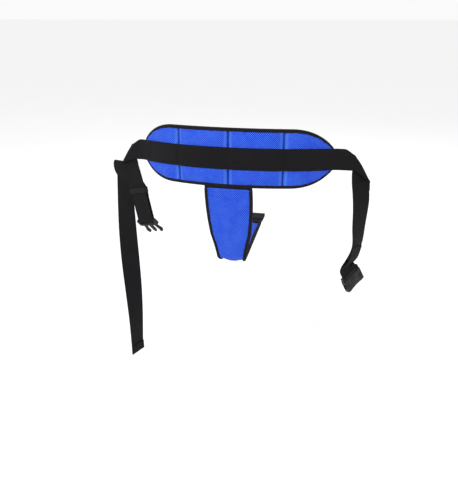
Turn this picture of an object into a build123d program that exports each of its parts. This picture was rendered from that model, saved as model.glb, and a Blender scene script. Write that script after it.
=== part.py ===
from build123d import *
from math import atan, cos, degrees, pi, radians, sin, tan
import os

# Wheelchair lap belt: padded lap pad, waist webbing, side-release buckle and crotch pad.
# Millimetres, +Z up. The origin is the middle of the lap pad's wearer side. The wearer sits on
# the +Y side and faces -Y. Left and right are as seen from the front.

os.makedirs("parts", exist_ok=True)

# Webbing and lap pad
WEBBING_W = 50
WEBBING_T = 1.8
PAD_BACK_R = 316  # plan radius of the pad's wearer side
PAD_T = 14
PAD_FRONT_R = PAD_BACK_R + PAD_T
PAD_MID_R = PAD_BACK_R + PAD_T / 2
SKIN_T = 0.8
PAD_HALF_H = 67
PAD_HALF_ARC = 256  # along the front face, from the middle to each tip
SHOULDER_ARC = 148  # where the rim starts to curve in towards the tip
CHANNEL_ARC = 126  # sewn channels that the wings fold at
DROOP = 11.5  # the tips hang this much below the middle
BINDING_W = 7
BINDING_T = 10
CHANNEL_GAP = 0.8
REACH = 400  # longer than anything it cuts

# Webbing beyond the pad
BAND_DROOP = 0.12  # fall per millimetre outwards
FOLD_INNER_R = 3
LAYER_GAP = 0.4
JOINT_GAP = 1.0

# Side-release buckle
BUCKLE_W = 62
BAR_R = 2.0
BAR_CLEARANCE = 0.5  # between a bar and the webbing wrapped round it
SLOT_W = 52
FEMALE_LEN = 42
FEMALE_T = 13
SOCKET_H = 8.6
SOCKET_DEPTH = 31
MALE_FRAME_LEN = 21
MALE_T = 8
PRONG_LEN = 31
PRONG_T = 6.6
PRONG_X = 18

# Crotch pad
CROTCH_T = 11
CROTCH_TOP_Z = -70
CROTCH_BEND_R = 18  # at mid thickness
CROTCH_LEAN = 11.4  # degrees, the front panel slopes back as it goes down
CROTCH_BOTTOM_Z = -266  # mid thickness of the level strip
CROTCH_TAB = 8  # thin sewn tab at the top
CROTCH_REAR_Y = 318  # rear end of the padded strip
LOOP_INSIDE = 56  # along the strip, for 50 mm webbing
LOOP_H = 8
LOOP_NECK = 14
LOOP_JOINT_GAP = 2

PAD_END = degrees(PAD_HALF_ARC / PAD_FRONT_R)
CHANNEL = degrees(CHANNEL_ARC / PAD_FRONT_R)


def export_piece(part, node, words):
    """Label a finished piece and write its STEP."""
    part.label = words
    export_step(part, f"parts/{node}.step")


# ---------------------------------------------------------------- lap pad
def front_x(arc):
    """X on the pad's front face at this arc length from the middle."""
    return PAD_FRONT_R * sin(arc / PAD_FRONT_R)


def centre_z(arc):
    """Height of the pad's centre line, which sags towards the tips."""
    return -DROOP * (arc / PAD_HALF_ARC) ** 2


def half_height(arc):
    """Half the pad's height: level, then one large arc down to the webbing's edge."""
    run_in = max(abs(arc) - SHOULDER_ARC, 0)
    rise = PAD_HALF_H - WEBBING_W / 2
    tip_run = PAD_HALF_ARC - SHOULDER_ARC
    end_radius = (tip_run**2 + rise**2) / (2 * rise)
    return PAD_HALF_H - end_radius + (end_radius**2 - run_in**2) ** 0.5


def pad_outline(inset=0.0):
    """The pad seen from the front, drawn in (X, Z)."""
    middle_arc = (SHOULDER_ARC + PAD_HALF_ARC) / 2
    points = {}
    for side in (-1, 1):
        for edge in (-1, 1):
            points[side, edge] = [
                (side * front_x(arc), centre_z(arc) + edge * half_height(arc))
                for arc in (SHOULDER_ARC, middle_arc, PAD_HALF_ARC)
            ]
    with BuildSketch(Plane.XZ) as outline:
        with BuildLine():
            for edge in (-1, 1):
                ThreePointArc(points[-1, edge][0], (0, edge * PAD_HALF_H), points[1, edge][0])
                for side in (-1, 1):
                    ThreePointArc(*points[side, edge])
            for side in (-1, 1):
                Line(points[side, -1][2], points[side, 1][2])
        make_face()
        if inset:
            offset(amount=-inset, mode=Mode.REPLACE)
    return outline.sketch


def webbing_outline():
    """The waist webbing on the pad seen from the front."""
    half = WEBBING_W / 2
    tip_x = front_x(PAD_HALF_ARC)
    with BuildSketch(Plane.XZ) as outline:
        with BuildLine():
            for edge in (-half, half):
                ThreePointArc((-tip_x, edge - DROOP), (0, edge), (tip_x, edge - DROOP))
            for side in (-tip_x, tip_x):
                Line((side, -half - DROOP), (side, half - DROOP))
        make_face()
    return outline.sketch


def plan_ring(inner_r, outer_r, from_deg, to_deg):
    """Plan of a layer of the pad between two angles from straight ahead."""
    far = 2 * REACH
    corners = [(0, 0)]
    for angle in (from_deg, (from_deg + to_deg) / 2, to_deg):
        corners.append((far * sin(radians(angle)), -far * cos(radians(angle))))
    with BuildSketch(Plane((0, PAD_BACK_R, -REACH))) as ring:
        Circle(outer_r)
        Circle(inner_r, mode=Mode.SUBTRACT)
        with BuildLine():
            Polyline(*corners, close=True)
        make_face(mode=Mode.INTERSECT)
    return ring.sketch


def channel_plane(angle):
    """Plan plane at a channel, X along the pad and Y towards the front."""
    at = radians(angle)
    origin = (PAD_MID_R * sin(at), PAD_BACK_R - PAD_MID_R * cos(at), -REACH)
    return Plane(origin, x_dir=(-cos(at), -sin(at), 0), z_dir=(0, 0, 1))


def channel_notch(angle):
    """Plan of a sewn channel: narrow at mid thickness, open at both faces."""
    depth = PAD_T
    waist = CHANNEL_GAP / 2
    front = waist + depth * tan(radians(12))
    back = waist + depth * tan(radians(22.5))
    with BuildSketch(channel_plane(angle)) as notch:
        with BuildLine():
            Polyline(
                (waist, 0),
                (front, depth),
                (-front, depth),
                (-waist, 0),
                (-back, -depth),
                (back, -depth),
                close=True,
            )
        make_face()
    return notch.sketch


def make_pad_layer(node, words, outline, radii, span, channels):
    """One curved layer of the pad, cut to an outline and to its own cell."""
    with BuildPart() as layer:
        extrude(outline, amount=REACH, both=True)
        extrude(plan_ring(*radii, *span), amount=2 * REACH, mode=Mode.INTERSECT)
        for channel in channels:
            extrude(channel_notch(channel), amount=2 * REACH, mode=Mode.SUBTRACT)
    export_piece(layer.part, node, words)


def stitch_pattern(width, height):
    """Boxed cross of stitching, drawn about the sketch's own origin."""
    line_w = 1.2
    slant = degrees(atan(height / width))
    long = (width**2 + height**2) ** 0.5 - 2 * line_w
    with BuildSketch() as pattern:
        Rectangle(width, height)
        Rectangle(width - 2 * line_w, height - 2 * line_w, mode=Mode.SUBTRACT)
        for turn in (-slant, slant):
            Rectangle(long, line_w, rotation=turn)
    return pattern.sketch


def make_lap_pad():
    """Covers, binding, webbing and foam cells, divided at the sewn channels."""
    covers = {
        "left": ((-PAD_END, -CHANNEL), (-CHANNEL,)),
        "centre": ((-CHANNEL, CHANNEL), (-CHANNEL, CHANNEL)),
        "right": ((CHANNEL, PAD_END), (CHANNEL,)),
    }
    inner = pad_outline(BINDING_W)
    rim = pad_outline() - inner
    front_skin = (PAD_FRONT_R - SKIN_T, PAD_FRONT_R)
    back_skin = (PAD_BACK_R, PAD_BACK_R + SKIN_T)
    binding = (PAD_MID_R - BINDING_T / 2, PAD_MID_R + BINDING_T / 2)
    webbing = (PAD_FRONT_R, PAD_FRONT_R + WEBBING_T)
    for name, (span, channels) in covers.items():
        make_pad_layer(f"front_cover_{name}", "mesh front cover", inner, front_skin, span, channels)
        make_pad_layer(f"back_cover_{name}", "mesh back cover", inner, back_skin, span, channels)
        make_pad_layer(f"pad_binding_{name}", "binding tape", rim, binding, span, channels)
        make_pad_layer(
            f"waist_webbing_{name}", "waist webbing", webbing_outline(), webbing, span, channels
        )
    cells = {
        "left_outer": ((-PAD_END, -CHANNEL), (-CHANNEL,)),
        "left_inner": ((-CHANNEL, 0), (-CHANNEL, 0)),
        "right_inner": ((0, CHANNEL), (0, CHANNEL)),
        "right_outer": ((CHANNEL, PAD_END), (CHANNEL,)),
    }
    foam = (PAD_BACK_R + SKIN_T, PAD_FRONT_R - SKIN_T)
    for name, (span, channels) in cells.items():
        make_pad_layer(f"pad_foam_{name}", "foam cell", inner, foam, span, channels)


def make_end_stitching():
    """Stitching through webbing and pad at each tip, standing just proud of the webbing."""
    arc = PAD_HALF_ARC - 22
    radii = (PAD_FRONT_R + WEBBING_T, PAD_FRONT_R + WEBBING_T + 0.4)
    for name, side in (("left", -1), ("right", 1)):
        place = Plane((side * front_x(arc), 0, centre_z(arc)), x_dir=(1, 0, 0), z_dir=(0, -1, 0))
        pattern = place * stitch_pattern(22, 38)
        span = (CHANNEL, PAD_END) if side > 0 else (-PAD_END, -CHANNEL)
        make_pad_layer(f"end_stitching_{name}", "box stitching", pattern, radii, span, ())


# ---------------------------------------------------------------- webbing bands and folds
class Side:
    """Where one side's webbing runs, worked out for the right and mirrored for the left."""

    def __init__(self, turn_radius, turn_deg, fold_reach, lean, stub):
        self.turn_radius = turn_radius
        self.turn_deg = turn_deg
        tip = radians(PAD_END)
        self.heading = tip - radians(turn_deg)
        self.start = Vector(PAD_FRONT_R * sin(tip), PAD_BACK_R - PAD_FRONT_R * cos(tip), 0)
        chord = 2 * turn_radius * sin(radians(turn_deg) / 2)
        chord_heading = tip - radians(turn_deg) / 2
        step = Vector(chord * cos(chord_heading), chord * sin(chord_heading), 0)
        self.origin = self.start + step
        turn_len = turn_radius * radians(turn_deg)
        self.z_start = -DROOP
        self.z_origin = -DROOP - BAND_DROOP * turn_len
        self.fold_u = fold_reach
        self.fold_z = self.z_origin - BAND_DROOP * fold_reach
        droop = degrees(atan(BAND_DROOP))
        self.lean = radians(lean)
        self.fold_angle = radians(droop + (90 + lean - droop) / 2)
        half_edge = WEBBING_W / 2 / cos(radians(droop))
        self.half_edge = half_edge
        self.corner_u = half_edge / (tan(self.fold_angle) - BAND_DROOP)
        self.corner_z = self.corner_u * tan(self.fold_angle)
        roll_mid = FOLD_INNER_R + WEBBING_T / 2
        # the roll carries the webbing this far along the fold before it hangs
        self.creep = pi * roll_mid / tan(self.fold_angle - radians(droop))
        self.stub = stub

    def plane(self, offset=0.0):
        """The band's back face: X outwards, Y up, Z to the front."""
        along = Vector(cos(self.heading), sin(self.heading), 0)
        front = Vector(sin(self.heading), -cos(self.heading), 0)
        return Plane(self.origin + front * offset, x_dir=along, z_dir=front)

    def drop_point(self, distance, across=0.0):
        """A point in that plane on the webbing below the fold, which the roll moves along it."""
        down = Vector(-sin(self.lean), -cos(self.lean))
        side = Vector(cos(self.lean), -sin(self.lean))
        along = Vector(cos(self.fold_angle), -sin(self.fold_angle))
        leaves = Vector(self.fold_u, self.fold_z) + along * self.creep
        return leaves + down * distance + side * across

    def drop_offset(self):
        """The lower layer's front face, behind the band."""
        return -2 * FOLD_INNER_R


LEFT = Side(turn_radius=66.8, turn_deg=26.04, fold_reach=31.6, lean=14, stub=26.5)
RIGHT = Side(turn_radius=86.1, turn_deg=15.04, fold_reach=49, lean=6, stub=44)


def make_band(node, side, mirrored):
    """Webbing from the pad's tip, over its diagonal fold, to a short stub that hangs."""
    tip = radians(PAD_END)
    upper = side.half_edge
    gap = JOINT_GAP
    shift = Vector(cos(tip), sin(tip), 0) * gap
    start = side.start + shift
    outward = Vector(sin(tip), -cos(tip), 0)
    front = side.plane().z_dir
    turn_centre = side.start + outward * side.turn_radius
    middle_angle = tip - radians(side.turn_deg) / 2
    to_middle = Vector(-sin(middle_angle), cos(middle_angle), 0)
    corner = Vector(side.corner_u, side.corner_z)
    with BuildPart() as band:
        with BuildSketch(Plane.XY.offset(-REACH)):
            with BuildLine():
                for depth in (0, WEBBING_T):
                    radius = side.turn_radius - depth
                    ThreePointArc(
                        side.start + outward * depth,
                        turn_centre + to_middle * radius,
                        side.origin + front * depth,
                    )
                Line(side.start, side.start + outward * WEBBING_T)
                Line(side.origin, side.origin + front * WEBBING_T)
            make_face()
        extrude(amount=2 * REACH)
        with BuildSketch(Plane.XZ):
            with BuildLine():
                Polyline(
                    (start.X, side.z_start - upper),
                    (side.origin.X + 1, side.z_origin - upper),
                    (side.origin.X + 1, side.z_origin + upper),
                    (start.X, side.z_start + upper),
                    close=True,
                )
            make_face()
        extrude(amount=REACH, both=True, mode=Mode.INTERSECT)
        with BuildSketch(side.plane()):
            with BuildLine():
                Polyline(
                    (0, side.z_origin - upper),
                    (side.fold_u + corner.X, side.fold_z - corner.Y),
                    (side.fold_u - corner.X, side.fold_z + corner.Y),
                    (0, side.z_origin + upper),
                    close=True,
                )
            make_face()
        extrude(amount=WEBBING_T)
        with BuildSketch(fold_plane(side)):
            Circle(FOLD_INNER_R + WEBBING_T)
            Circle(FOLD_INNER_R, mode=Mode.SUBTRACT)
            with Locations((-FOLD_INNER_R - WEBBING_T, 0)):
                Rectangle(2 * (FOLD_INNER_R + WEBBING_T), 4 * FOLD_INNER_R, mode=Mode.SUBTRACT)
        extrude(amount=2 * corner.length + side.creep)
        with BuildSketch(side.plane(side.drop_offset())):
            with BuildLine():
                Polyline(
                    side.drop_point(0) + Vector(corner.X, -corner.Y),
                    side.drop_point(0) - Vector(corner.X, -corner.Y),
                    side.drop_point(side.stub, -WEBBING_W / 2),
                    side.drop_point(side.stub, WEBBING_W / 2),
                    close=True,
                )
            make_face()
        extrude(amount=-WEBBING_T)
    finish_side(band.part, node, "folded webbing band", mirrored)


def fold_plane(side):
    """Across the fold's roll: origin on its axis at the upper corner, X away from the band."""
    plane = side.plane()
    top = Vector(side.fold_u - side.corner_u, side.fold_z + side.corner_z, -FOLD_INNER_R)
    along = plane.x_dir * cos(side.fold_angle) - plane.y_dir * sin(side.fold_angle)
    away = plane.x_dir * sin(side.fold_angle) + plane.y_dir * cos(side.fold_angle)
    return Plane(plane.from_local_coords(top), x_dir=away, z_dir=along)


def finish_side(part, node, words, mirrored):
    """Write a piece, mirrored when it belongs on the left."""
    if mirrored:
        part = part.mirror(Plane.YZ)
    export_piece(part, node, words)


# ---------------------------------------------------------------- right drop and female buckle
def ribbon_plane(centre, width_dir, run_dir):
    """Section plane of a hanging ribbon: X across it, Z along it."""
    across = width_dir.normalized()
    along = (run_dir - across * run_dir.dot(across)).normalized()
    return Plane(centre, x_dir=across, z_dir=along)


def heading_vector(angle):
    """Level direction at this angle from straight outwards, towards the wearer."""
    return Vector(cos(radians(angle)), sin(radians(angle)), 0)


def make_ribbon(node, words, sections, mirrored=False):
    """Webbing that twists as it hangs, through a list of centres and width directions."""
    centres = [centre for centre, _ in sections]
    with BuildPart() as ribbon:
        for index, (centre, across) in enumerate(sections):
            before = centres[max(index - 1, 0)]
            after = centres[min(index + 1, len(centres) - 1)]
            with BuildSketch(ribbon_plane(centre, across, after - before)):
                Rectangle(WEBBING_W, WEBBING_T)
        loft(ruled=True)
    finish_side(ribbon.part, node, words, mirrored)


def right_drop_start():
    """Middle of the joint between the right band's stub and the drop."""
    at = RIGHT.drop_point(RIGHT.stub + JOINT_GAP / 2)
    depth = RIGHT.drop_offset() - WEBBING_T / 2
    return RIGHT.plane().from_local_coords(Vector(at.X, at.Y, depth))


def right_drop_across():
    """The drop's width direction at its top."""
    plane = RIGHT.plane()
    return plane.x_dir * cos(RIGHT.lean) - plane.y_dir * sin(RIGHT.lean)


FEMALE_BAR = Vector(287, 116, -308)
FEMALE_ACROSS = Vector(0.55, 0.72, 0.44).normalized()
FEMALE_DOWN = Vector(0.45, 0.27, -0.85)
DROP_END = 9  # the drop stops this far above the bar, where its wrap takes over


def female_plane():
    """The female buckle's own frame: X along its bar, Y to its mouth, origin in the bar."""
    down = (FEMALE_DOWN - FEMALE_ACROSS * FEMALE_DOWN.dot(FEMALE_ACROSS)).normalized()
    return Plane(FEMALE_BAR, x_dir=FEMALE_ACROSS, z_dir=FEMALE_ACROSS.cross(down))


def make_right_drop():
    """The hanging webbing, and the end that is folded back up it from the buckle's bar."""
    start = right_drop_start()
    across = right_drop_across()
    down = RIGHT.plane().z_dir.cross(across) * -1
    end = FEMALE_BAR - female_plane().y_dir * DROP_END
    sections = [
        (start + down * JOINT_GAP / 2, across),
        (Vector(300, 119, -125), heading_vector(42)),
        (Vector(300, 119, -180), heading_vector(52)),
        (Vector(299, 118, -236), heading_vector(62)),
        (end, FEMALE_ACROSS),
    ]
    make_ribbon("drop_webbing", "hanging webbing", sections)
    run = end - sections[3][0]
    step = WEBBING_T + LAYER_GAP
    layer = []
    for centre, width_dir in sections[3:]:
        lift = ribbon_plane(centre, width_dir, run).y_dir * step
        layer.append((centre + lift, width_dir))
    make_ribbon("drop_fold_back", "sewn-back end", layer)


def make_bar_loop():
    """The webbing's end, wrapped round the female buckle's bar and sewn to itself."""
    inner = BAR_R + BAR_CLEARANCE
    outer = inner + WEBBING_T
    frame = female_plane()
    with BuildPart() as loop:
        with BuildSketch(Plane(frame.origin, x_dir=frame.y_dir, z_dir=frame.x_dir)):
            Circle(outer)
            with Locations((-DROP_END / 2, 0)):
                Rectangle(DROP_END, 2 * outer)
            Circle(inner, mode=Mode.SUBTRACT)
            with Locations((-outer / 2, 0)):
                Rectangle(outer, 2 * inner, mode=Mode.SUBTRACT)
        extrude(amount=WEBBING_W / 2, both=True)
    export_piece(loop.part, "bar_loop", "webbing loop on the buckle bar")


def make_female_buckle():
    """Shell with an open mouth, side windows, and a bar between two lugs."""
    body_len = FEMALE_LEN - 7
    with BuildPart(female_plane()) as buckle:
        with Locations((0, FEMALE_LEN - body_len / 2, 0)):
            Box(BUCKLE_W, body_len, FEMALE_T)
        fillet(buckle.edges().filter_by(Axis(female_plane().origin, female_plane().y_dir)), 3)
        with Locations((0, FEMALE_LEN - SOCKET_DEPTH / 2, 0)):
            Box(SLOT_W + 2, SOCKET_DEPTH, SOCKET_H, mode=Mode.SUBTRACT)
        with Locations((0, FEMALE_LEN - 17, 0)):
            Box(2 * BUCKLE_W, 13, SOCKET_H - 2, mode=Mode.SUBTRACT)
        side_x = (BUCKLE_W + SLOT_W) / 4 + 0.5
        for x in (-side_x, side_x):
            with Locations((x, 4, 0)):
                Box((BUCKLE_W - SLOT_W) / 2 - 1, 14, 7)
        with Locations(Location((0, 0, 0), (0, 90, 0))):
            Cylinder(BAR_R, 2 * side_x)
    export_piece(buckle.part, "female_buckle", "female side-release buckle")


# ---------------------------------------------------------------- left run, tail and male buckle
RUN_LEN = 158
KEEPER_AT = 74  # below the stub's joint
KEEPER_LEN = 14
BUCKLE_TILT = 38  # degrees, the male buckle lies back from the run
LAYER_STEP = 2 * (BAR_R + BAR_CLEARANCE) + WEBBING_T  # between the run's two mid layers


def left_point(distance, across, depth):
    """A point of the left run in the mirrored (right-hand) frame."""
    at = LEFT.drop_point(distance, across)
    return LEFT.plane().from_local_coords(Vector(at.X, at.Y, depth))


def run_plane(distance):
    """Between the run's two layers: X across them, Y up or down the run, Z to the back."""
    plane = LEFT.plane()
    between = LEFT.drop_offset() - WEBBING_T / 2 - LAYER_STEP / 2
    across = plane.x_dir * cos(LEFT.lean) - plane.y_dir * sin(LEFT.lean)
    return Plane(left_point(distance, 0, between), x_dir=across, z_dir=plane.z_dir * -1)


def male_plane():
    """The male buckle's frame: X along its bars, Y towards the prongs, origin in the bar."""
    run = run_plane(LEFT.stub + JOINT_GAP + RUN_LEN)
    down = run.y_dir * cos(radians(BUCKLE_TILT)) + run.z_dir * sin(radians(BUCKLE_TILT))
    return Plane(run.origin, x_dir=run.x_dir, z_dir=run.x_dir.cross(down))


def make_left_run():
    """The run, the wrap round the buckle's bar and the layer that returns to the keeper."""
    bar = run_plane(LEFT.stub + JOINT_GAP + RUN_LEN)
    inner = BAR_R + BAR_CLEARANCE
    outer = inner + WEBBING_T
    back_len = RUN_LEN - KEEPER_AT + KEEPER_LEN
    with BuildPart() as run:
        with BuildSketch(Plane(bar.origin, x_dir=bar.y_dir, z_dir=bar.x_dir)):
            Circle(outer)
            Circle(inner, mode=Mode.SUBTRACT)
            with Locations((-outer, 0)):
                Rectangle(2 * outer, 4 * outer, mode=Mode.SUBTRACT)
            with Locations((-RUN_LEN / 2, -LAYER_STEP / 2)):
                Rectangle(RUN_LEN, WEBBING_T)
            with Locations((-back_len / 2, LAYER_STEP / 2)):
                Rectangle(back_len, WEBBING_T)
        extrude(amount=WEBBING_W / 2, both=True)
    finish_side(run.part, "left_run_webbing", "doubled webbing run", True)


def make_keeper():
    """Elastic sleeve round both layers of the run."""
    at = run_plane(LEFT.stub + JOINT_GAP + KEEPER_AT)
    inside_h = LAYER_STEP + WEBBING_T + 2 * LAYER_GAP
    with BuildPart(at) as keeper:
        Box(WEBBING_W + 2 * LAYER_GAP + 3, KEEPER_LEN, inside_h + 3)
        Box(WEBBING_W + 2 * LAYER_GAP, 2 * KEEPER_LEN, inside_h, mode=Mode.SUBTRACT)
    finish_side(keeper.part, "keeper", "elastic keeper", True)


def make_male_buckle():
    """Frame with two side lugs and a bar, a middle guide, and the two sprung prongs."""
    frame_start = -5
    slot_end = 6.5
    with BuildPart(male_plane()) as body:
        with Locations((0, frame_start + MALE_FRAME_LEN / 2, 0)):
            Box(BUCKLE_W, MALE_FRAME_LEN, MALE_T)
        fillet(body.edges().filter_by(Axis(male_plane().origin, male_plane().z_dir)), 4)
        with Locations((0, slot_end - MALE_FRAME_LEN / 2, 0)):
            Box(SLOT_W, MALE_FRAME_LEN, 2 * MALE_T, mode=Mode.SUBTRACT)
        with Locations(Location((0, 0, 0), (0, 90, 0))):
            Cylinder(BAR_R, SLOT_W + 2)
        with Locations((0, 16 + PRONG_LEN / 2 - 1, 0)):
            Box(9, PRONG_LEN - 2, PRONG_T - 1.6)
        for x in (-PRONG_X, PRONG_X):
            with Locations((x, 16, 0)):
                Cylinder(3.4, 2 * MALE_T, mode=Mode.SUBTRACT)
    finish_side(body.part, "male_buckle", "male side-release buckle", True)
    for name, sign in (("left", 1), ("right", -1)):
        with BuildPart(male_plane()) as prong:
            with Locations((sign * PRONG_X, 16, 0)):
                Cylinder(3, PRONG_T)
            with BuildSketch(Plane(male_plane().origin, x_dir=male_plane().x_dir,
                                   z_dir=male_plane().z_dir)):
                with BuildLine():
                    Polyline(
                        (sign * (PRONG_X - 2.6), 17),
                        (sign * (PRONG_X + 2.6), 17),
                        (sign * (PRONG_X + 6.5), 32),
                        (sign * (PRONG_X + 8.4), 33),
                        (sign * (PRONG_X + 5.5), 45),
                        (sign * (PRONG_X + 1.5), 47),
                        (sign * (PRONG_X - 0.5), 44),
                        close=True,
                    )
                make_face()
            extrude(amount=PRONG_T / 2, both=True)
        finish_side(prong.part, f"prong_{name}", "sprung prong", True)


TAIL_END_Z = -640
TAIL_X = 314
TAIL_Y = 136
TAIL_TOP_Z = -82
TURN_RISE = 20
TURN_R = 5
TAIL_TWIST = (18, 8, -8, -26, -44, -60, -70)
HEM_LEN = 28


def make_tail():
    """The long free end, which hangs almost to the ground, with its hem."""
    step = (TAIL_TOP_Z - TAIL_END_Z - HEM_LEN) / (len(TAIL_TWIST) - 1)
    sections = []
    for index, twist in enumerate(TAIL_TWIST):
        centre = Vector(TAIL_X, TAIL_Y, TAIL_TOP_Z - index * step)
        sections.append((centre, heading_vector(twist)))
    make_ribbon("tail_webbing", "free tail webbing", sections, mirrored=True)
    last = Plane((TAIL_X, TAIL_Y, TAIL_END_Z + HEM_LEN / 2), x_dir=heading_vector(TAIL_TWIST[-1]),
                 z_dir=(0, 0, 1))
    with BuildPart(last) as hem:
        Box(WEBBING_W, 2 * WEBBING_T, HEM_LEN - 0.01)
    finish_side(hem.part, "tail_hem", "sewn hem", True)


def make_tail_turn():
    """The returning layer above the keeper and its turn over into the tail."""
    low = run_plane(LEFT.stub + JOINT_GAP + KEEPER_AT - KEEPER_LEN - JOINT_GAP)
    low_centre = low.origin + low.z_dir * (LAYER_STEP / 2)
    tail_plane_dir = heading_vector(TAIL_TWIST[0])
    back = Vector(-sin(radians(TAIL_TWIST[0])), cos(radians(TAIL_TWIST[0])), 0)
    top = Vector(TAIL_X, TAIL_Y, TAIL_TOP_Z)
    rise = Vector(0, 0, TURN_RISE)
    radius = TURN_R
    front_leg = top + rise - back * 2 * radius
    sections = [
        (low_centre, low.x_dir),
        (front_leg, tail_plane_dir),
    ]
    make_ribbon("return_webbing", "returning webbing", sections, mirrored=True)
    with BuildPart() as turn:
        centre = top + rise - back * radius
        with BuildSketch(Plane(centre, x_dir=back, z_dir=tail_plane_dir)):
            Circle(radius + WEBBING_T / 2)
            Circle(radius - WEBBING_T / 2, mode=Mode.SUBTRACT)
            with Locations((0, -radius - WEBBING_T)):
                Rectangle(4 * radius, 2 * (radius + WEBBING_T), mode=Mode.SUBTRACT)
        extrude(amount=WEBBING_W / 2, both=True)
        tail_leg = Plane(top + rise / 2 + Vector(0, 0, JOINT_GAP / 2), x_dir=tail_plane_dir,
                         z_dir=(0, 0, 1))
        with Locations(tail_leg):
            Box(WEBBING_W, WEBBING_T, rise.Z - JOINT_GAP)
    finish_side(turn.part, "tail_turn", "webbing turned over", True)


# ---------------------------------------------------------------- crotch pad
def crotch_corner():
    """Where the front panel's and the rear strip's mid lines would meet, in (Y, Z)."""
    fall = CROTCH_TOP_Z - CROTCH_BOTTOM_Z
    return Vector(-PAD_T / 2 + fall * tan(radians(CROTCH_LEAN)), CROTCH_BOTTOM_Z)


def crotch_tangent():
    """Distance from that corner to each end of the bend."""
    return CROTCH_BEND_R * tan(radians(90 - CROTCH_LEAN) / 2)


def bend_centre():
    """Centre of the bend in side view, in (Y, Z)."""
    corner = crotch_corner()
    return Vector(corner.X + crotch_tangent(), CROTCH_BOTTOM_Z + CROTCH_BEND_R)


def bend_joint():
    """Mid thickness at the middle of the bend."""
    angle = radians((90 - CROTCH_LEAN) / 2)
    centre = bend_centre()
    return Vector(centre.X - CROTCH_BEND_R * sin(angle), centre.Y - CROTCH_BEND_R * cos(angle))


def crotch_profile(thickness, offset_mid=0.0):
    """Side view of one layer of the bent pad, in (Y, Z)."""
    low = thickness / 2 + offset_mid
    high = -thickness / 2 + offset_mid
    centre = bend_centre()
    lean = radians(CROTCH_LEAN)
    down = Vector(sin(lean), -cos(lean))
    outward = Vector(-cos(lean), -sin(lean))
    top = crotch_corner() - down * ((CROTCH_TOP_Z - CROTCH_BOTTOM_Z) / cos(lean))
    half = radians((90 - CROTCH_LEAN) / 2)
    with BuildSketch(Plane.YZ.offset(-REACH)) as profile:
        with BuildLine():
            for shift in (low, high):
                radius = CROTCH_BEND_R + shift
                bend_start = centre + outward * radius
                bend_mid = centre + Vector(-sin(half), -cos(half)) * radius
                bend_end = centre + Vector(0, -1) * radius
                Line(top + outward * shift, bend_start)
                ThreePointArc(bend_start, bend_mid, bend_end)
                Line(bend_end, (CROTCH_REAR_Y, CROTCH_BOTTOM_Z - shift))
            Line(top + outward * low, top + outward * high)
            Line((CROTCH_REAR_Y, CROTCH_BOTTOM_Z - low), (CROTCH_REAR_Y, CROTCH_BOTTOM_Z - high))
        make_face()
    return profile.sketch


def front_panel_outline(inset=0.0, top_z=CROTCH_TOP_Z):
    """Front view of the front panel, in (X, Z): wide at the top, narrow at the bend."""
    floor = CROTCH_BOTTOM_Z - 20
    with BuildSketch(Plane.XZ) as outline:
        with BuildLine():
            for side in (-1, 1):
                ThreePointArc((side * 56, CROTCH_TOP_Z), (side * 55.2, -135), (side * 49, -195))
                ThreePointArc((side * 49, -195), (side * 37.2, -250), (side * 33, floor))
            Line((-56, CROTCH_TOP_Z), (56, CROTCH_TOP_Z))
            Line((-33, floor), (33, floor))
        make_face()
        if inset:
            offset(amount=-inset, mode=Mode.REPLACE)
            with Locations((0, floor)):
                Rectangle(66 - 2 * inset, 4 * inset)
        with Locations((0, top_z - REACH / 2)):
            Rectangle(REACH, REACH, mode=Mode.INTERSECT)
    return outline.sketch


def rear_strip_outline(inset=0.0):
    """Plan of the rear strip, in (X, Y)."""
    front_y = bend_joint().X - 20
    with BuildSketch(Plane.XY) as outline:
        with BuildLine():
            Polyline(
                (-33 + inset, front_y),
                (33 - inset, front_y),
                (33 - inset, 60),
                (25 - inset, CROTCH_REAR_Y - inset),
                (-25 + inset, CROTCH_REAR_Y - inset),
                (-33 + inset, 60),
                close=True,
            )
        make_face()
    return outline.sketch


def bend_plane():
    """Side-view plane at the bend's joint: X along the pad to the rear, Y to the wearer."""
    angle = radians((90 - CROTCH_LEAN) / 2)
    at = bend_joint()
    return Plane((-REACH, at.X, at.Y), x_dir=(0, cos(angle), -sin(angle)), z_dir=(1, 0, 0))


def bend_notch():
    """Side view of the crease at the bend: a narrow waist that opens to both faces."""
    waist = CHANNEL_GAP / 2
    inner = waist + CROTCH_T * tan(radians(18))
    outer = waist + CROTCH_T * tan(radians(38))
    with BuildSketch(bend_plane()) as notch:
        with BuildLine():
            Polyline(
                (waist, 0),
                (inner, CROTCH_T),
                (-inner, CROTCH_T),
                (-waist, 0),
                (-outer, -CROTCH_T),
                (outer, -CROTCH_T),
                close=True,
            )
        make_face()
    return notch.sketch


def side_of_bend(front):
    """A large side-view region on one side of the bend."""
    middle = -REACH if front else REACH
    with BuildSketch(bend_plane()) as region:
        with Locations((middle, 0)):
            Rectangle(2 * REACH, 2 * REACH)
    return region.sketch


def make_crotch_layer(node, words, profile, outline, front):
    """One layer of the crotch pad, on one side of the bend."""
    with BuildPart() as layer:
        extrude(profile, amount=2 * REACH)
        extrude(outline, amount=REACH, both=True, mode=Mode.INTERSECT)
        extrude(side_of_bend(front), amount=2 * REACH, mode=Mode.INTERSECT)
        extrude(bend_notch(), amount=2 * REACH, mode=Mode.SUBTRACT)
    export_piece(layer.part, node, words)


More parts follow.
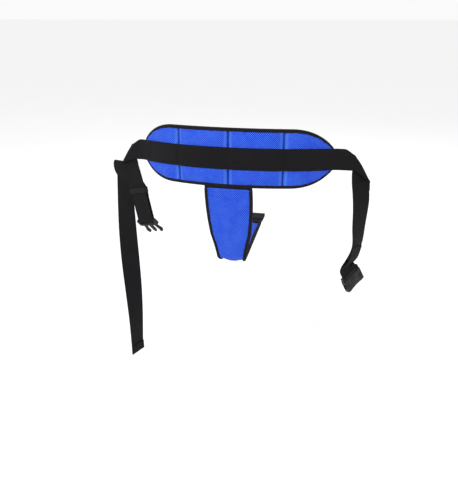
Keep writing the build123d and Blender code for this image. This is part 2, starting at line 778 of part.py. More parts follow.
def make_crotch_pad():
    """Foam, cover, lining and binding of the front panel and of the rear strip."""
    foam_t = CROTCH_T - 2 * SKIN_T
    skin_mid = (CROTCH_T - SKIN_T) / 2
    below_tab = CROTCH_TOP_Z - CROTCH_TAB
    for name, front in (("front", True), ("rear", False)):
        if front:
            whole = front_panel_outline(0, below_tab)
            inner = front_panel_outline(BINDING_W, below_tab)
        else:
            whole = rear_strip_outline()
            inner = rear_strip_outline(BINDING_W)
        rim = whole - inner
        layers = {
            "foam": (crotch_profile(foam_t), inner),
            "cover": (crotch_profile(SKIN_T, skin_mid), inner),
            "lining": (crotch_profile(SKIN_T, -skin_mid), inner),
            "binding": (crotch_profile(BINDING_T - 2), rim),
        }
        for layer, (profile, outline) in layers.items():
            make_crotch_layer(f"crotch_{layer}_{name}", f"crotch {layer}", profile, outline, front)


def make_crotch_tab():
    """Thin tab at the crotch pad's top, sewn behind the lap pad's lower rim."""
    with BuildPart() as tab:
        extrude(crotch_profile(3), amount=2 * REACH)
        extrude(front_panel_outline(), amount=REACH, both=True, mode=Mode.INTERSECT)
        with Locations((0, 0, CROTCH_TOP_Z - CROTCH_TAB - REACH)):
            Box(2 * REACH, 2 * REACH, 2 * REACH, mode=Mode.SUBTRACT)
    export_piece(tab.part, "crotch_tab", "sewn tab")


def make_crotch_loop():
    """Webbing at the rear of the crotch pad, doubled back into a loop for the waist webbing."""
    start = CROTCH_REAR_Y + LOOP_JOINT_GAP
    neck = LOOP_NECK
    inside_mid = start + neck + LOOP_INSIDE / 2
    outside_h = LOOP_H + 2 * WEBBING_T
    width = WEBBING_W - 4
    with BuildPart() as loop:
        with Locations((0, start + neck / 2, CROTCH_BOTTOM_Z)):
            Box(width, neck, 2 * WEBBING_T)
        with BuildSketch(Plane.YZ.offset(-width / 2)):
            with Locations((inside_mid, CROTCH_BOTTOM_Z)):
                SlotOverall(LOOP_INSIDE + 2 * WEBBING_T, outside_h)
                SlotOverall(LOOP_INSIDE, LOOP_H, mode=Mode.SUBTRACT)
        extrude(amount=width)
    export_piece(loop.part, "crotch_loop", "webbing loop")
    with BuildPart() as stitching:
        lift = CROTCH_BOTTOM_Z + WEBBING_T
        with Locations(Plane((0, start + neck / 2, lift))):
            add(extrude(stitch_pattern(width - 8, neck - 5), amount=0.4, mode=Mode.PRIVATE))
    export_piece(stitching.part, "loop_stitching", "box stitching")


make_lap_pad()
make_end_stitching()
make_band("left_band", LEFT, mirrored=True)
make_band("right_band", RIGHT, mirrored=False)
make_right_drop()
make_bar_loop()
make_female_buckle()
make_left_run()
make_keeper()
make_tail_turn()
make_male_buckle()
make_tail()
make_crotch_pad()
make_crotch_tab()
make_crotch_loop()
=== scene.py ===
"""Looks of a padded wheelchair lap belt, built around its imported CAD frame."""

from math import acos, atan, cos, pi, radians, sin, sqrt, tan

import bmesh
import bpy
import numpy as np
from mathutils import Matrix, Vector


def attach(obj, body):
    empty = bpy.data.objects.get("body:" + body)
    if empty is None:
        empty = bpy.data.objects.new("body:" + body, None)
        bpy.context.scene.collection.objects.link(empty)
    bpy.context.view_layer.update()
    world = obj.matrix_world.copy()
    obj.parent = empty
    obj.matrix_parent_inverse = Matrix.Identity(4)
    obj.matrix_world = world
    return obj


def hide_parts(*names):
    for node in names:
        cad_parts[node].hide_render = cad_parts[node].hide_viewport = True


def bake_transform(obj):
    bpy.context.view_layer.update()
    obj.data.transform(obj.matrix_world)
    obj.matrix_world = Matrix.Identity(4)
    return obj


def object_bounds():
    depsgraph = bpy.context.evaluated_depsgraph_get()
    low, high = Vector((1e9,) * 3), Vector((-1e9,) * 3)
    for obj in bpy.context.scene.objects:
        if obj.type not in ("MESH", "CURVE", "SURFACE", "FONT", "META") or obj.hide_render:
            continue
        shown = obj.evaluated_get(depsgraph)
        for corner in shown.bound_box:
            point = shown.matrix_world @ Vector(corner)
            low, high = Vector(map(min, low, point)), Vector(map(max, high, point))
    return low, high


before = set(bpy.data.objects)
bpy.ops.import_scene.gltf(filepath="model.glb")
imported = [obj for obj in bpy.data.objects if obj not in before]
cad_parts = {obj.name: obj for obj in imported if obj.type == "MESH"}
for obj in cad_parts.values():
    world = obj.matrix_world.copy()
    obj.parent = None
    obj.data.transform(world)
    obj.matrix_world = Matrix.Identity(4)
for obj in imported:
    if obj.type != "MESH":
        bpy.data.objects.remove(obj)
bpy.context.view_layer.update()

MM = 0.001

# Driving sizes of the frame's own model, in millimetres
WEBBING_W = 50
WEBBING_T = 1.8
PAD_BACK_R = 316
PAD_T = 14
PAD_FRONT_R = PAD_BACK_R + PAD_T
PAD_MID_R = PAD_BACK_R + PAD_T / 2
PAD_HALF_H = 67
PAD_HALF_ARC = 256
SHOULDER_ARC = 148
CHANNEL_ARC = 126
DROOP = 11.5
BINDING_W = 7
BAND_DROOP = 0.12
FOLD_R = 3.9
LAYER_STEP = 6.8
BAR_WRAP_R = 3.4
JOINT_GAP = 1.0
RUN_LEN = 158
KEEPER_AT = 74
KEEPER_LEN = 14
BUCKLE_TILT = 38
TAIL_TOP = np.array([314.0, 136.0, -82.0])
TAIL_END_Z = -640
TAIL_TWIST = (18, 8, -8, -26, -44, -60, -70)
TURN_RISE = 20
TURN_R = 5
CROTCH_T = 11
CROTCH_TOP_Z = -70
CROTCH_BEND_R = 18
CROTCH_LEAN = 11.4
CROTCH_BOTTOM_Z = -266
CROTCH_REAR_Y = 318
LOOP_INSIDE = 56
LOOP_H = 8
LOOP_NECK = 14


# ---------------------------------------------------------------- mesh helpers
def make_mesh(name, verts, faces, uvs=None):
    """A smooth mesh object from points in millimetres, with the weave's UVs in millimetres."""
    mesh = bpy.data.meshes.new(name)
    mesh.from_pydata((np.asarray(verts, float) * MM).tolist(), [], [list(f) for f in faces])
    if uvs is not None:
        index = np.zeros(len(mesh.loops), int)
        mesh.loops.foreach_get("vertex_index", index)
        layer = mesh.uv_layers.new(name="weave")
        layer.data.foreach_set("uv", np.asarray(uvs, np.float32)[index].ravel())
    mesh.polygons.foreach_set("use_smooth", [True] * len(mesh.polygons))
    mesh.update()
    obj = bpy.data.objects.new(name, mesh)
    bpy.context.scene.collection.objects.link(obj)
    return obj


def tidy_normals(obj):
    bm = bmesh.new()
    bm.from_mesh(obj.data)
    bmesh.ops.recalc_face_normals(bm, faces=bm.faces)
    bm.to_mesh(obj.data)
    bm.free()
    return obj


def ring_mesh(name, rings, uvs, caps=True, closed=False):
    """Rings of points joined one after another, with flat ends, or joined into a loop."""
    rows, cols = rings.shape[:2]
    faces = []
    for i in range(rows if closed else rows - 1):
        j = (i + 1) % rows
        for k in range(cols):
            n = (k + 1) % cols
            faces.append((i * cols + k, i * cols + n, j * cols + n, j * cols + k))
    if caps and not closed:
        half = cols // 2
        for row in (0, rows - 1):
            base = row * cols
            for k in range(half - 1):
                faces.append((base + k, base + k + 1, base + cols - 2 - k, base + cols - 1 - k))
    obj = tidy_normals(make_mesh(name, rings.reshape(-1, 3), faces, uvs.reshape(-1, 2)))
    obj.data.set_sharp_from_angle(angle=radians(60))
    return obj


def unit(v):
    v = np.asarray(v, float)
    return v / np.linalg.norm(v, axis=-1, keepdims=True)


def smooth_step(x):
    x = np.clip(x, 0, 1)
    return x * x * (3 - 2 * x)


def finish_piece(obj, slot, material, bodies, replaces=(), joint=None):
    """Material, body and the CAD nodes that a piece stands for; a piece over several bodies only has its transform
    baked, and slot is not used.
    """
    obj.data.materials.clear()
    obj.data.materials.append(material)
    if len(bodies) == 1:
        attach(obj, bodies[0])
    else:
        start, end = joint
        tuple(start)
        tuple(end)
        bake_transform(obj)
    if replaces:
        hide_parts(*replaces)
    return obj


# ---------------------------------------------------------------- materials
class Nodes:
    """Short spelling for a material's node tree."""

    def __init__(self, name):
        self.material = bpy.data.materials.new(name)
        self.material.use_nodes = True
        self.tree = self.material.node_tree
        self.shader = self.tree.nodes["Principled BSDF"]

    def add(self, kind, **settings):
        node = self.tree.nodes.new(kind)
        inputs = settings.pop("inputs", {})
        for key, value in settings.items():
            setattr(node, key, value)
        for key, value in inputs.items():
            self.put(node.inputs[key], value)
        return node

    def put(self, socket, value):
        if isinstance(value, bpy.types.NodeSocket):
            self.tree.links.new(value, socket)
        else:
            socket.default_value = value

    def math(self, operation, a, b=0.0, c=0.0, clamp=False):
        node = self.add("ShaderNodeMath", operation=operation, use_clamp=clamp)
        for socket, value in zip(node.inputs, (a, b, c)):
            self.put(socket, value)
        return node.outputs[0]

    def uv(self):
        """The weave's coordinates, across and along, in millimetres."""
        split = self.add("ShaderNodeSeparateXYZ")
        uv = self.add("ShaderNodeUVMap", uv_map="weave")
        self.put(split.inputs[0], uv.outputs[0])
        return split.outputs[0], split.outputs[1]

    def wave(self, coordinate, pitch, phase=0.0):
        """Cosine of a coordinate, from 0 to 1."""
        angle = self.math("MULTIPLY_ADD", coordinate, 2 * pi / pitch, phase)
        return self.math("MULTIPLY_ADD", self.math("COSINE", angle), 0.5, 0.5)

    def noise(self, scale, detail=3.0, roughness=0.55):
        node = self.add("ShaderNodeTexNoise", inputs={"Scale": scale, "Detail": detail, "Roughness": roughness})
        coordinate = self.add("ShaderNodeTexCoord")
        self.put(node.inputs["Vector"], coordinate.outputs["Object"])
        return node.outputs["Fac"]

    def ramp(self, value, stops):
        node = self.add("ShaderNodeValToRGB")
        ramp = node.color_ramp
        while len(ramp.elements) < len(stops):
            ramp.elements.new(0.5)
        for element, (at, colour) in zip(ramp.elements, stops):
            element.position = at
            element.color = (*colour, 1)
        self.put(node.inputs[0], value)
        return node.outputs[0]

    def mix(self, factor, a, b, blend="MIX"):
        node = self.add("ShaderNodeMix", data_type="RGBA", blend_type=blend)
        self.put(node.inputs[0], factor)
        self.put(node.inputs[6], a)
        self.put(node.inputs[7], b)
        return node.outputs[2]

    def bump(self, height, distance, strength=1.0):
        node = self.add("ShaderNodeBump", inputs={"Strength": strength, "Distance": distance})
        self.put(node.inputs["Height"], height)
        self.put(self.shader.inputs["Normal"], node.outputs[0])

    def surface(self, colour, roughness, sheen=0.0, specular=0.4, sheen_roughness=0.5):
        self.put(self.shader.inputs["Base Color"], colour)
        self.put(self.shader.inputs["Roughness"], roughness)
        self.shader.inputs["Sheen Weight"].default_value = sheen
        self.shader.inputs["Sheen Roughness"].default_value = sheen_roughness
        self.shader.inputs["Specular IOR Level"].default_value = specular
        return self.material


def mesh_fabric(name, low, high, seams=None):
    """Spacer mesh: a diamond lattice of pale knitted knots over darker gaps, with painted shade along the channel seams
    and a painted highlight beside them.
    """
    n = Nodes(name)
    u, v = n.uv()
    pitch = 4.4
    a = n.wave(n.math("ADD", u, v), pitch)
    b = n.wave(n.math("SUBTRACT", u, v), pitch)
    knots = n.math("MULTIPLY", a, b)
    threads = n.wave(u, 0.45)
    knit = n.math("MULTIPLY_ADD", threads, 0.15, knots)
    patch = n.noise(26.0)
    wear = n.noise(170.0, 4.0)
    tone = n.math("MULTIPLY_ADD", patch, 0.35, n.math("MULTIPLY_ADD", wear, 0.25, -0.30))
    level = n.math("ADD", n.math("MULTIPLY_ADD", knots, 0.95, 0.10), tone, clamp=True)
    middle = tuple(0.72 * p + 0.28 * q for p, q in zip(low, high))
    colour = n.ramp(level, [(0.0, low), (0.5, middle), (1.0, high)])
    if seams:
        size = n.math("ABSOLUTE", u)
        near = n.math("MINIMUM", size, n.math("ABSOLUTE", n.math("SUBTRACT", size, seams)))
        # Painted shade: a dark band along each channel stands in for the shade in its groove.
        dark = n.math("SUBTRACT", 1.0, n.math("DIVIDE", near, 2.6), clamp=True)
        # Painted highlight: a paler band beside each channel stands in for light on the puffed cells next to the seam.
        flank_painted_highlight = n.math("SUBTRACT", 1.0, n.math("ABSOLUTE", n.math("DIVIDE", n.math("SUBTRACT", near, 6.0), 5.5)), clamp=True)
        colour = n.mix(n.math("MULTIPLY", flank_painted_highlight, 0.2), colour, (*FLANK_PAINTED_HIGHLIGHT, 1))
        colour = n.mix(n.math("MULTIPLY", n.math("POWER", dark, 0.7), 0.92), colour, (*GROOVE_PAINTED_SHADE, 1))
    roughness = n.math("MULTIPLY_ADD", knots, -0.15, 0.75)
    n.bump(n.math("MULTIPLY_ADD", patch, 0.3, knit), 0.0006, 0.8)
    return n.surface(colour, roughness, sheen=0.0, specular=0.12)


def webbing_fabric(name, dark, light, rib=1.25, cross=0.9):
    """Flat woven webbing: ribs across, fine warp along and a denser selvedge at both edges."""
    n = Nodes(name)
    u, v = n.uv()
    ribs = n.wave(v, rib)
    shifted = n.math("MULTIPLY_ADD", n.wave(u, 2 * cross), pi, 0.0)
    angle = n.math("MULTIPLY_ADD", v, 2 * pi / rib, shifted)
    weave = n.math("MULTIPLY_ADD", n.math("COSINE", angle), 0.5, 0.5)
    warp = n.wave(u, cross)
    edge = n.math("SUBTRACT", n.math("ABSOLUTE", u), 22.4)
    selvedge = n.math("MULTIPLY", n.math("GREATER_THAN", edge, 0.0), 1.0)
    body = n.math("MULTIPLY_ADD", weave, 0.65, n.math("MULTIPLY", warp, 0.35))
    rim = n.math("MULTIPLY_ADD", n.wave(u, 0.8), 0.6, n.math("MULTIPLY", ribs, 0.3))
    height = n.math("ADD", n.math("MULTIPLY", body, n.math("SUBTRACT", 1.0, selvedge)), n.math("MULTIPLY", rim, selvedge))
    patch = n.noise(34.0)
    lint = n.noise(900.0, 2.0)
    tone = n.math("ADD", n.math("MULTIPLY", height, 0.55), n.math("MULTIPLY_ADD", patch, 0.5, n.math("MULTIPLY", lint, 0.15)), clamp=True)
    colour = n.ramp(tone, [(0.15, dark), (0.95, light)])
    roughness = n.math("MULTIPLY_ADD", patch, 0.18, 0.58)
    n.bump(height, 0.00035, 0.85)
    return n.surface(colour, roughness, sheen=0.0, specular=0.1)


def tape_fabric(name, dark, light):
    """Binding tape: fine twill with a soft, slightly fuzzy surface."""
    n = Nodes(name)
    u, v = n.uv()
    twill = n.wave(n.math("ADD", u, n.math("MULTIPLY", v, 0.6)), 0.9)
    grain = n.wave(v, 0.55)
    height = n.math("MULTIPLY_ADD", twill, 0.6, n.math("MULTIPLY", grain, 0.4))
    patch = n.noise(60.0)
    tone = n.math("MULTIPLY_ADD", height, 0.5, n.math("MULTIPLY", patch, 0.55), clamp=True)
    colour = n.ramp(tone, [(0.1, dark), (0.95, light)])
    n.bump(height, 0.00025, 0.8)
    return n.surface(colour, n.math("MULTIPLY_ADD", patch, 0.2, 0.7), sheen=0.0, specular=0.14)


def elastic_fabric(name, dark, light):
    """Woven elastic: deep ribs along its length and fine picks across."""
    n = Nodes(name)
    u, v = n.uv()
    ribs = n.wave(u, 1.6)
    picks = n.wave(v, 0.7)
    height = n.math("MULTIPLY_ADD", ribs, 0.75, n.math("MULTIPLY", picks, 0.25))
    tone = n.math("MULTIPLY_ADD", height, 0.6, n.math("MULTIPLY", n.noise(80.0), 0.4), clamp=True)
    n.bump(height, 0.0004, 0.9)
    return n.surface(n.ramp(tone, [(0.1, dark), (0.95, light)]), n.math("MULTIPLY_ADD", ribs, -0.12, 0.75), sheen=0.0, specular=0.15)


def thread_material(name, dark, light):
    n = Nodes(name)
    twist = n.noise(2600.0, 1.0)
    n.bump(twist, 0.0001, 0.6)
    return n.surface(n.ramp(twist, [(0.3, dark), (0.8, light)]), n.math("MULTIPLY_ADD", twist, 0.2, 0.5), sheen=0.0, specular=0.2)


def moulded_plastic(name, dark, light):
    """Acetal buckle: spark-textured faces, rubbed a little smoother and paler in patches."""
    n = Nodes(name)
    grain = n.noise(1900.0, 2.0, 0.7)
    rub = n.noise(70.0, 4.0)
    tone = n.math("MULTIPLY_ADD", rub, 0.8, n.math("MULTIPLY", grain, 0.2))
    n.bump(n.math("MULTIPLY_ADD", grain, 1.0, n.math("MULTIPLY", rub, 0.3)), 0.00012, 0.55)
    return n.surface(n.ramp(tone, [(0.35, dark), (0.75, light)]), n.math("MULTIPLY_ADD", rub, -0.3, 0.6), specular=0.3)


# Colour of the painted shade in the channel grooves.
GROOVE_PAINTED_SHADE = (0.002, 0.008, 0.16)
# Colour of the painted highlight beside the channels.
FLANK_PAINTED_HIGHLIGHT = (0.16, 0.42, 1.0)
MESH_LOW, MESH_HIGH = (0.003, 0.020, 0.50), (0.105, 0.315, 1.0)
BLUE = mesh_fabric("blue_spacer_mesh", MESH_LOW, MESH_HIGH)
LAP_BLUE = mesh_fabric("blue_spacer_mesh_quilted", MESH_LOW, MESH_HIGH, CHANNEL_ARC)
SEAM_BLUE = tape_fabric("channel_seam_blue", (0.002, 0.006, 0.12), (0.008, 0.022, 0.30))
WEBBING = webbing_fabric("black_webbing", (0.0013, 0.0013, 0.0016), (0.0112, 0.0106, 0.0124))
BINDING = tape_fabric("black_binding", (0.0026, 0.0024, 0.0028), (0.0130, 0.0120, 0.0135))
ELASTIC = elastic_fabric("black_elastic", (0.0030, 0.0030, 0.0034), (0.0180, 0.0180, 0.0200))
THREAD = thread_material("black_thread", (0.006, 0.006, 0.007), (0.030, 0.030, 0.034))
PLASTIC = moulded_plastic("black_moulded_plastic", (0.0035, 0.0035, 0.0040), (0.0130, 0.0130, 0.0145))


# ---------------------------------------------------------------- the pad's own surface
TIP_ANGLE = PAD_HALF_ARC / PAD_FRONT_R


def centre_z(arc):
    return -DROOP * (np.asarray(arc) / PAD_HALF_ARC) ** 2


def half_height(arc):
    run_in = np.clip(np.abs(arc) - SHOULDER_ARC, 0, None)
    rise = PAD_HALF_H - WEBBING_W / 2
    tip_run = PAD_HALF_ARC - SHOULDER_ARC
    end_radius = (tip_run**2 + rise**2) / (2 * rise)
    return PAD_HALF_H - end_radius + np.sqrt(np.clip(end_radius**2 - run_in**2, 0, None))


def pad_point(arc, z, depth):
    """A point by arc along the front face, height and depth in front of mid thickness."""
    angle = np.asarray(arc) / PAD_FRONT_R
    radius = PAD_MID_R + np.asarray(depth)
    return np.stack([radius * np.sin(angle), PAD_BACK_R - radius * np.cos(angle), z + 0 * angle], -1)


def wing_joint(side, reach=9):
    """Start and end of the bend between the middle and a wing, in metres."""
    angle = CHANNEL_ARC / PAD_FRONT_R
    at = pad_point(side * CHANNEL_ARC, 0.0, 0.0)
    along = np.array([side * cos(angle), sin(angle), 0])
    return (at - along * reach) * MM, (at + along * reach) * MM


def relax_height(shape, fixed, values, load, passes=1400):
    """Height of a stretched skin pushed up by filling and held where it is sewn."""
    height = np.where(fixed, values, values.mean()).astype(float)
    for _ in range(passes):
        wide = np.pad(height, 1, mode="edge")
        mean = (wide[:-2, 1:-1] + wide[2:, 1:-1] + wide[1:-1, :-2] + wide[1:-1, 2:]) / 4
        height = np.where(fixed, values, mean + load)
    return height


def inflate(obj, pinned, slack, pressure, cap, frames=16):
    """Cloth simulation of a sewn skin under the foam's push, applied to the mesh."""
    group = obj.vertex_groups.new(name="sewn")
    group.add([int(i) for i in np.flatnonzero(pinned)], 1.0, "REPLACE")
    rest = np.array([v.co for v in obj.data.vertices])
    cloth = obj.modifiers.new("cloth", "CLOTH")
    settings = cloth.settings
    settings.vertex_group_mass = "sewn"
    settings.quality = 6
    settings.mass = 0.15
    settings.tension_stiffness = 18
    settings.compression_stiffness = 12
    settings.shear_stiffness = 6
    settings.bending_stiffness = 0.15
    settings.air_damping = 4
    settings.shrink_min = -slack
    settings.shrink_max = -slack
    settings.use_pressure = True
    settings.uniform_pressure_force = pressure
    settings.effector_weights.gravity = 0
    cloth.collision_settings.use_collision = False
    scene = bpy.context.scene
    cloth.point_cache.frame_start = 1
    cloth.point_cache.frame_end = frames + 1
    for number in range(1, frames + 1):
        scene.frame_set(number)
    graph = bpy.context.evaluated_depsgraph_get()
    done = obj.evaluated_get(graph).data
    moved = np.array([v.co for v in done.vertices])
    obj.modifiers.remove(cloth)
    scene.frame_set(1)
    shift = moved - rest
    size = np.linalg.norm(shift, axis=1, keepdims=True)
    shift *= np.minimum(1, cap * MM / np.maximum(size, 1e-9))
    obj.data.vertices.foreach_set("co", (rest + shift).astype(np.float32).ravel())
    obj.data.update()
    return obj


def subdivide(obj, levels=1):
    """One applied subdivision, which rounds the simulated or given form."""
    modifier = obj.modifiers.new("subdivision", "SUBSURF")
    modifier.levels = modifier.render_levels = levels
    graph = bpy.context.evaluated_depsgraph_get()
    mesh = bpy.data.meshes.new_from_object(obj.evaluated_get(graph))
    obj.modifiers.clear()
    old = obj.data
    obj.data = mesh
    bpy.data.meshes.remove(old)
    return obj


RIM_DEPTH = 3.7
CHANNEL_HALF_W = 1.9
CHANNEL_DEPTH = 1.2
STRAP_DEPTH = PAD_T / 2 - 0.3


def pad_half(side):
    """Front and back skins of half the pad, sewn at the rim, the channels and the webbing."""
    cols, rows = 126, 53
    arcs = np.linspace(0, PAD_HALF_ARC, cols)
    fractions = np.linspace(-1, 1, rows)
    arc, fraction = np.meshgrid(arcs, fractions, indexing="ij")
    z_half = half_height(arc) - 1.2
    z = fraction * z_half
    from_rim = (1 - np.abs(fraction)) * z_half
    from_tip = PAD_HALF_ARC - arc
    edge = np.minimum(from_rim, from_tip)
    near_channel = np.minimum(np.abs(arc), np.abs(arc - CHANNEL_ARC))
    pieces = []
    for face, name in ((1, "front"), (-1, "back")):
        rim = edge < BINDING_W - 1.5
        channel = near_channel < CHANNEL_HALF_W
        strap = (np.abs(z) < WEBBING_W / 2 - 1.0) & (face > 0)
        fixed = rim | channel | strap
        values = np.full(arc.shape, PAD_T / 2)
        values[strap] = STRAP_DEPTH
        values[channel] = CHANNEL_DEPTH
        values[channel & strap] = STRAP_DEPTH - 1.6
        values[rim] = RIM_DEPTH
        load = 0.034 if face > 0 else 0.020
        height = relax_height(arc.shape, fixed, values, load)
        height = np.where(edge < 1e-6, 1.6, height)
        points = pad_point(side * arc, z + centre_z(arc), face * height)
        faces = []
        for i in range(cols - 1):
            for k in range(rows - 1):
                quad = (i * rows + k, (i + 1) * rows + k, (i + 1) * rows + k + 1, i * rows + k + 1)
                faces.append(quad if side * face > 0 else quad[::-1])
        uvs = np.stack([side * arc, z + centre_z(arc)], -1)
        obj = make_mesh(f"pad_{name}_{'right' if side > 0 else 'left'}", points.reshape(-1, 3), faces, uvs.reshape(-1, 2))
        inflate(obj, fixed.ravel(), 0.012, 1.5 if face > 0 else 1.0, 3.5)
        pieces.append(subdivide(obj))
    return pieces


def outline_path(side):
    """Half the pad's rim from the top middle, round the tip, to the bottom middle."""
    arcs = np.concatenate([np.linspace(0, PAD_HALF_ARC - 5, 90), PAD_HALF_ARC - 5 * (1 - np.sin(np.linspace(0.1, 1, 6) * pi / 2))])
    top = np.stack([arcs, half_height(arcs)], -1)
    top[-6:, 1] -= 3.5 * (1 - np.cos(np.linspace(0.1, 1, 6) * pi / 2))
    tip_z = np.linspace(top[-1, 1], -top[-1, 1], 14)[1:-1]
    tip = np.stack([np.full(tip_z.shape, float(PAD_HALF_ARC)), tip_z], -1)
    bottom = top[::-1] * np.array([1, -1])
    path = np.concatenate([top, tip, bottom])
    path[:, 1] += centre_z(path[:, 0])
    path[:, 0] *= side
    return path


def path_frames(path):
    """Running length and inward unit normals of an outline drawn on the pad's surface."""
    step = np.gradient(path, axis=0)
    tangent = unit(step)
    length = np.concatenate([[0], np.cumsum(np.linalg.norm(np.diff(path, axis=0), axis=1))])
    inward = np.stack([tangent[:, 1], -tangent[:, 0]], -1)
    middle = path.mean(axis=0)
    flip = np.sign(((middle - path) * inward).sum(axis=1, keepdims=True))
    flip = np.sign(np.median(flip))
    return length, inward * flip


BINDING_OUTSIDE = ((7.2, 4.4), (5.6, 4.95), (3.4, 5.05), (1.6, 4.7), (0.4, 3.7), (-0.25, 2.0))
BINDING_INSIDE = ((7.2, 3.5), (5.6, 3.75), (3.6, 3.75), (2.4, 3.4), (1.6, 2.7), (1.1, 1.5))
BINDING_SECTION = (
    *BINDING_OUTSIDE, (-0.45, 0.0), *((x, -z) for x, z in BINDING_OUTSIDE[::-1]),
    *((x, -z) for x, z in BINDING_INSIDE), (0.9, 0.0), *BINDING_INSIDE[::-1],
)


def sweep_binding(name, path, place, section=BINDING_SECTION, ripple=0.28, shrink=1.0):
    """Tape folded over an edge, gathered a little where it was eased round the curves."""
    length, inward = path_frames(path)
    fine = np.arange(0, length[-1], 2.4)
    fine = np.append(fine, length[-1])
    points = np.stack([np.interp(fine, length, path[:, k]) for k in (0, 1)], -1)
    normal = unit(np.stack([np.interp(fine, length, inward[:, k]) for k in (0, 1)], -1))
    section = np.array(section) * np.array([1, shrink])
    wave = ripple * (np.sin(fine / 5.1) + 0.6 * np.sin(fine / 2.9 + 1.3))
    rings = []
    uvs = []
    walk = np.concatenate([[0], np.cumsum(np.linalg.norm(np.diff(section, axis=0), axis=1))])
    for (reach, depth), across in zip(section, walk):
        loose = wave * min(1.0, abs(depth) / 4) * (1 if abs(reach) > 2 else 0.3)
        at = points + normal * (reach + 0.5 * loose[:, None])
        rings.append(place(at[:, 0], at[:, 1], depth + np.sign(depth) * 0.5 * loose))
        uvs.append(np.stack([np.full(fine.shape, across), fine], -1))
    return ring_mesh(name, np.stack(rings, 1), np.stack(uvs, 1))


def stitch_row(name, points, normals, material, slot, bodies, joint=None, pitch=3.3, long=2.3, thick=0.32):
    """A row of separate stitches lying along a line of points on a surface."""
    points = np.asarray(points, float)
    step = np.linalg.norm(np.diff(points, axis=0), axis=1)
    length = np.concatenate([[0], np.cumsum(step)])
    marks = np.arange(pitch / 2, length[-1] - pitch / 4, pitch)
    verts, faces = [], []
    profile = ((-0.5, 0.25), (-0.32, 0.8), (0.0, 1.0), (0.32, 0.8), (0.5, 0.25))
    sides = 6
    for mark in marks:
        ends = [np.array([np.interp(mark + d, length, points[:, k]) for k in range(3)]) for d in (-long / 2, long / 2)]
        centre = (ends[0] + ends[1]) / 2
        along = unit(ends[1] - ends[0])
        normal = np.array([np.interp(mark, length, normals[:, k]) for k in range(3)])
        normal = unit(normal - along * (normal @ along))
        across = np.cross(along, normal)
        base = len(verts)
        for place, width in profile:
            lift = 0.28 - 1.1 * place * place
            for k in range(sides):
                turn = 2 * pi * k / sides
                verts.append(centre + along * place * long + normal * (lift + thick * width * cos(turn)) + across * thick * 1.25 * width * sin(turn))
        for r in range(len(profile) - 1):
            for k in range(sides):
                n = (k + 1) % sides
                faces.append((base + r * sides + k, base + r * sides + n, base + (r + 1) * sides + n, base + (r + 1) * sides + k))
        faces.append(tuple(base + k for k in range(sides))[::-1])
        faces.append(tuple(base + (len(profile) - 1) * sides + k for k in range(sides)))
    obj = tidy_normals(make_mesh(name, verts, faces))
    return finish_piece(obj, slot, material, bodies, joint=joint)


def pad_row(arcs, z, depth, outward=1):
    """Points and normals of a line on the pad, for stitches."""
    points = pad_point(arcs, z, depth)
    angle = np.asarray(arcs) / PAD_FRONT_R
    normals = np.stack([np.sin(angle), -np.cos(angle), 0 * angle], -1) * outward
    return points, normals


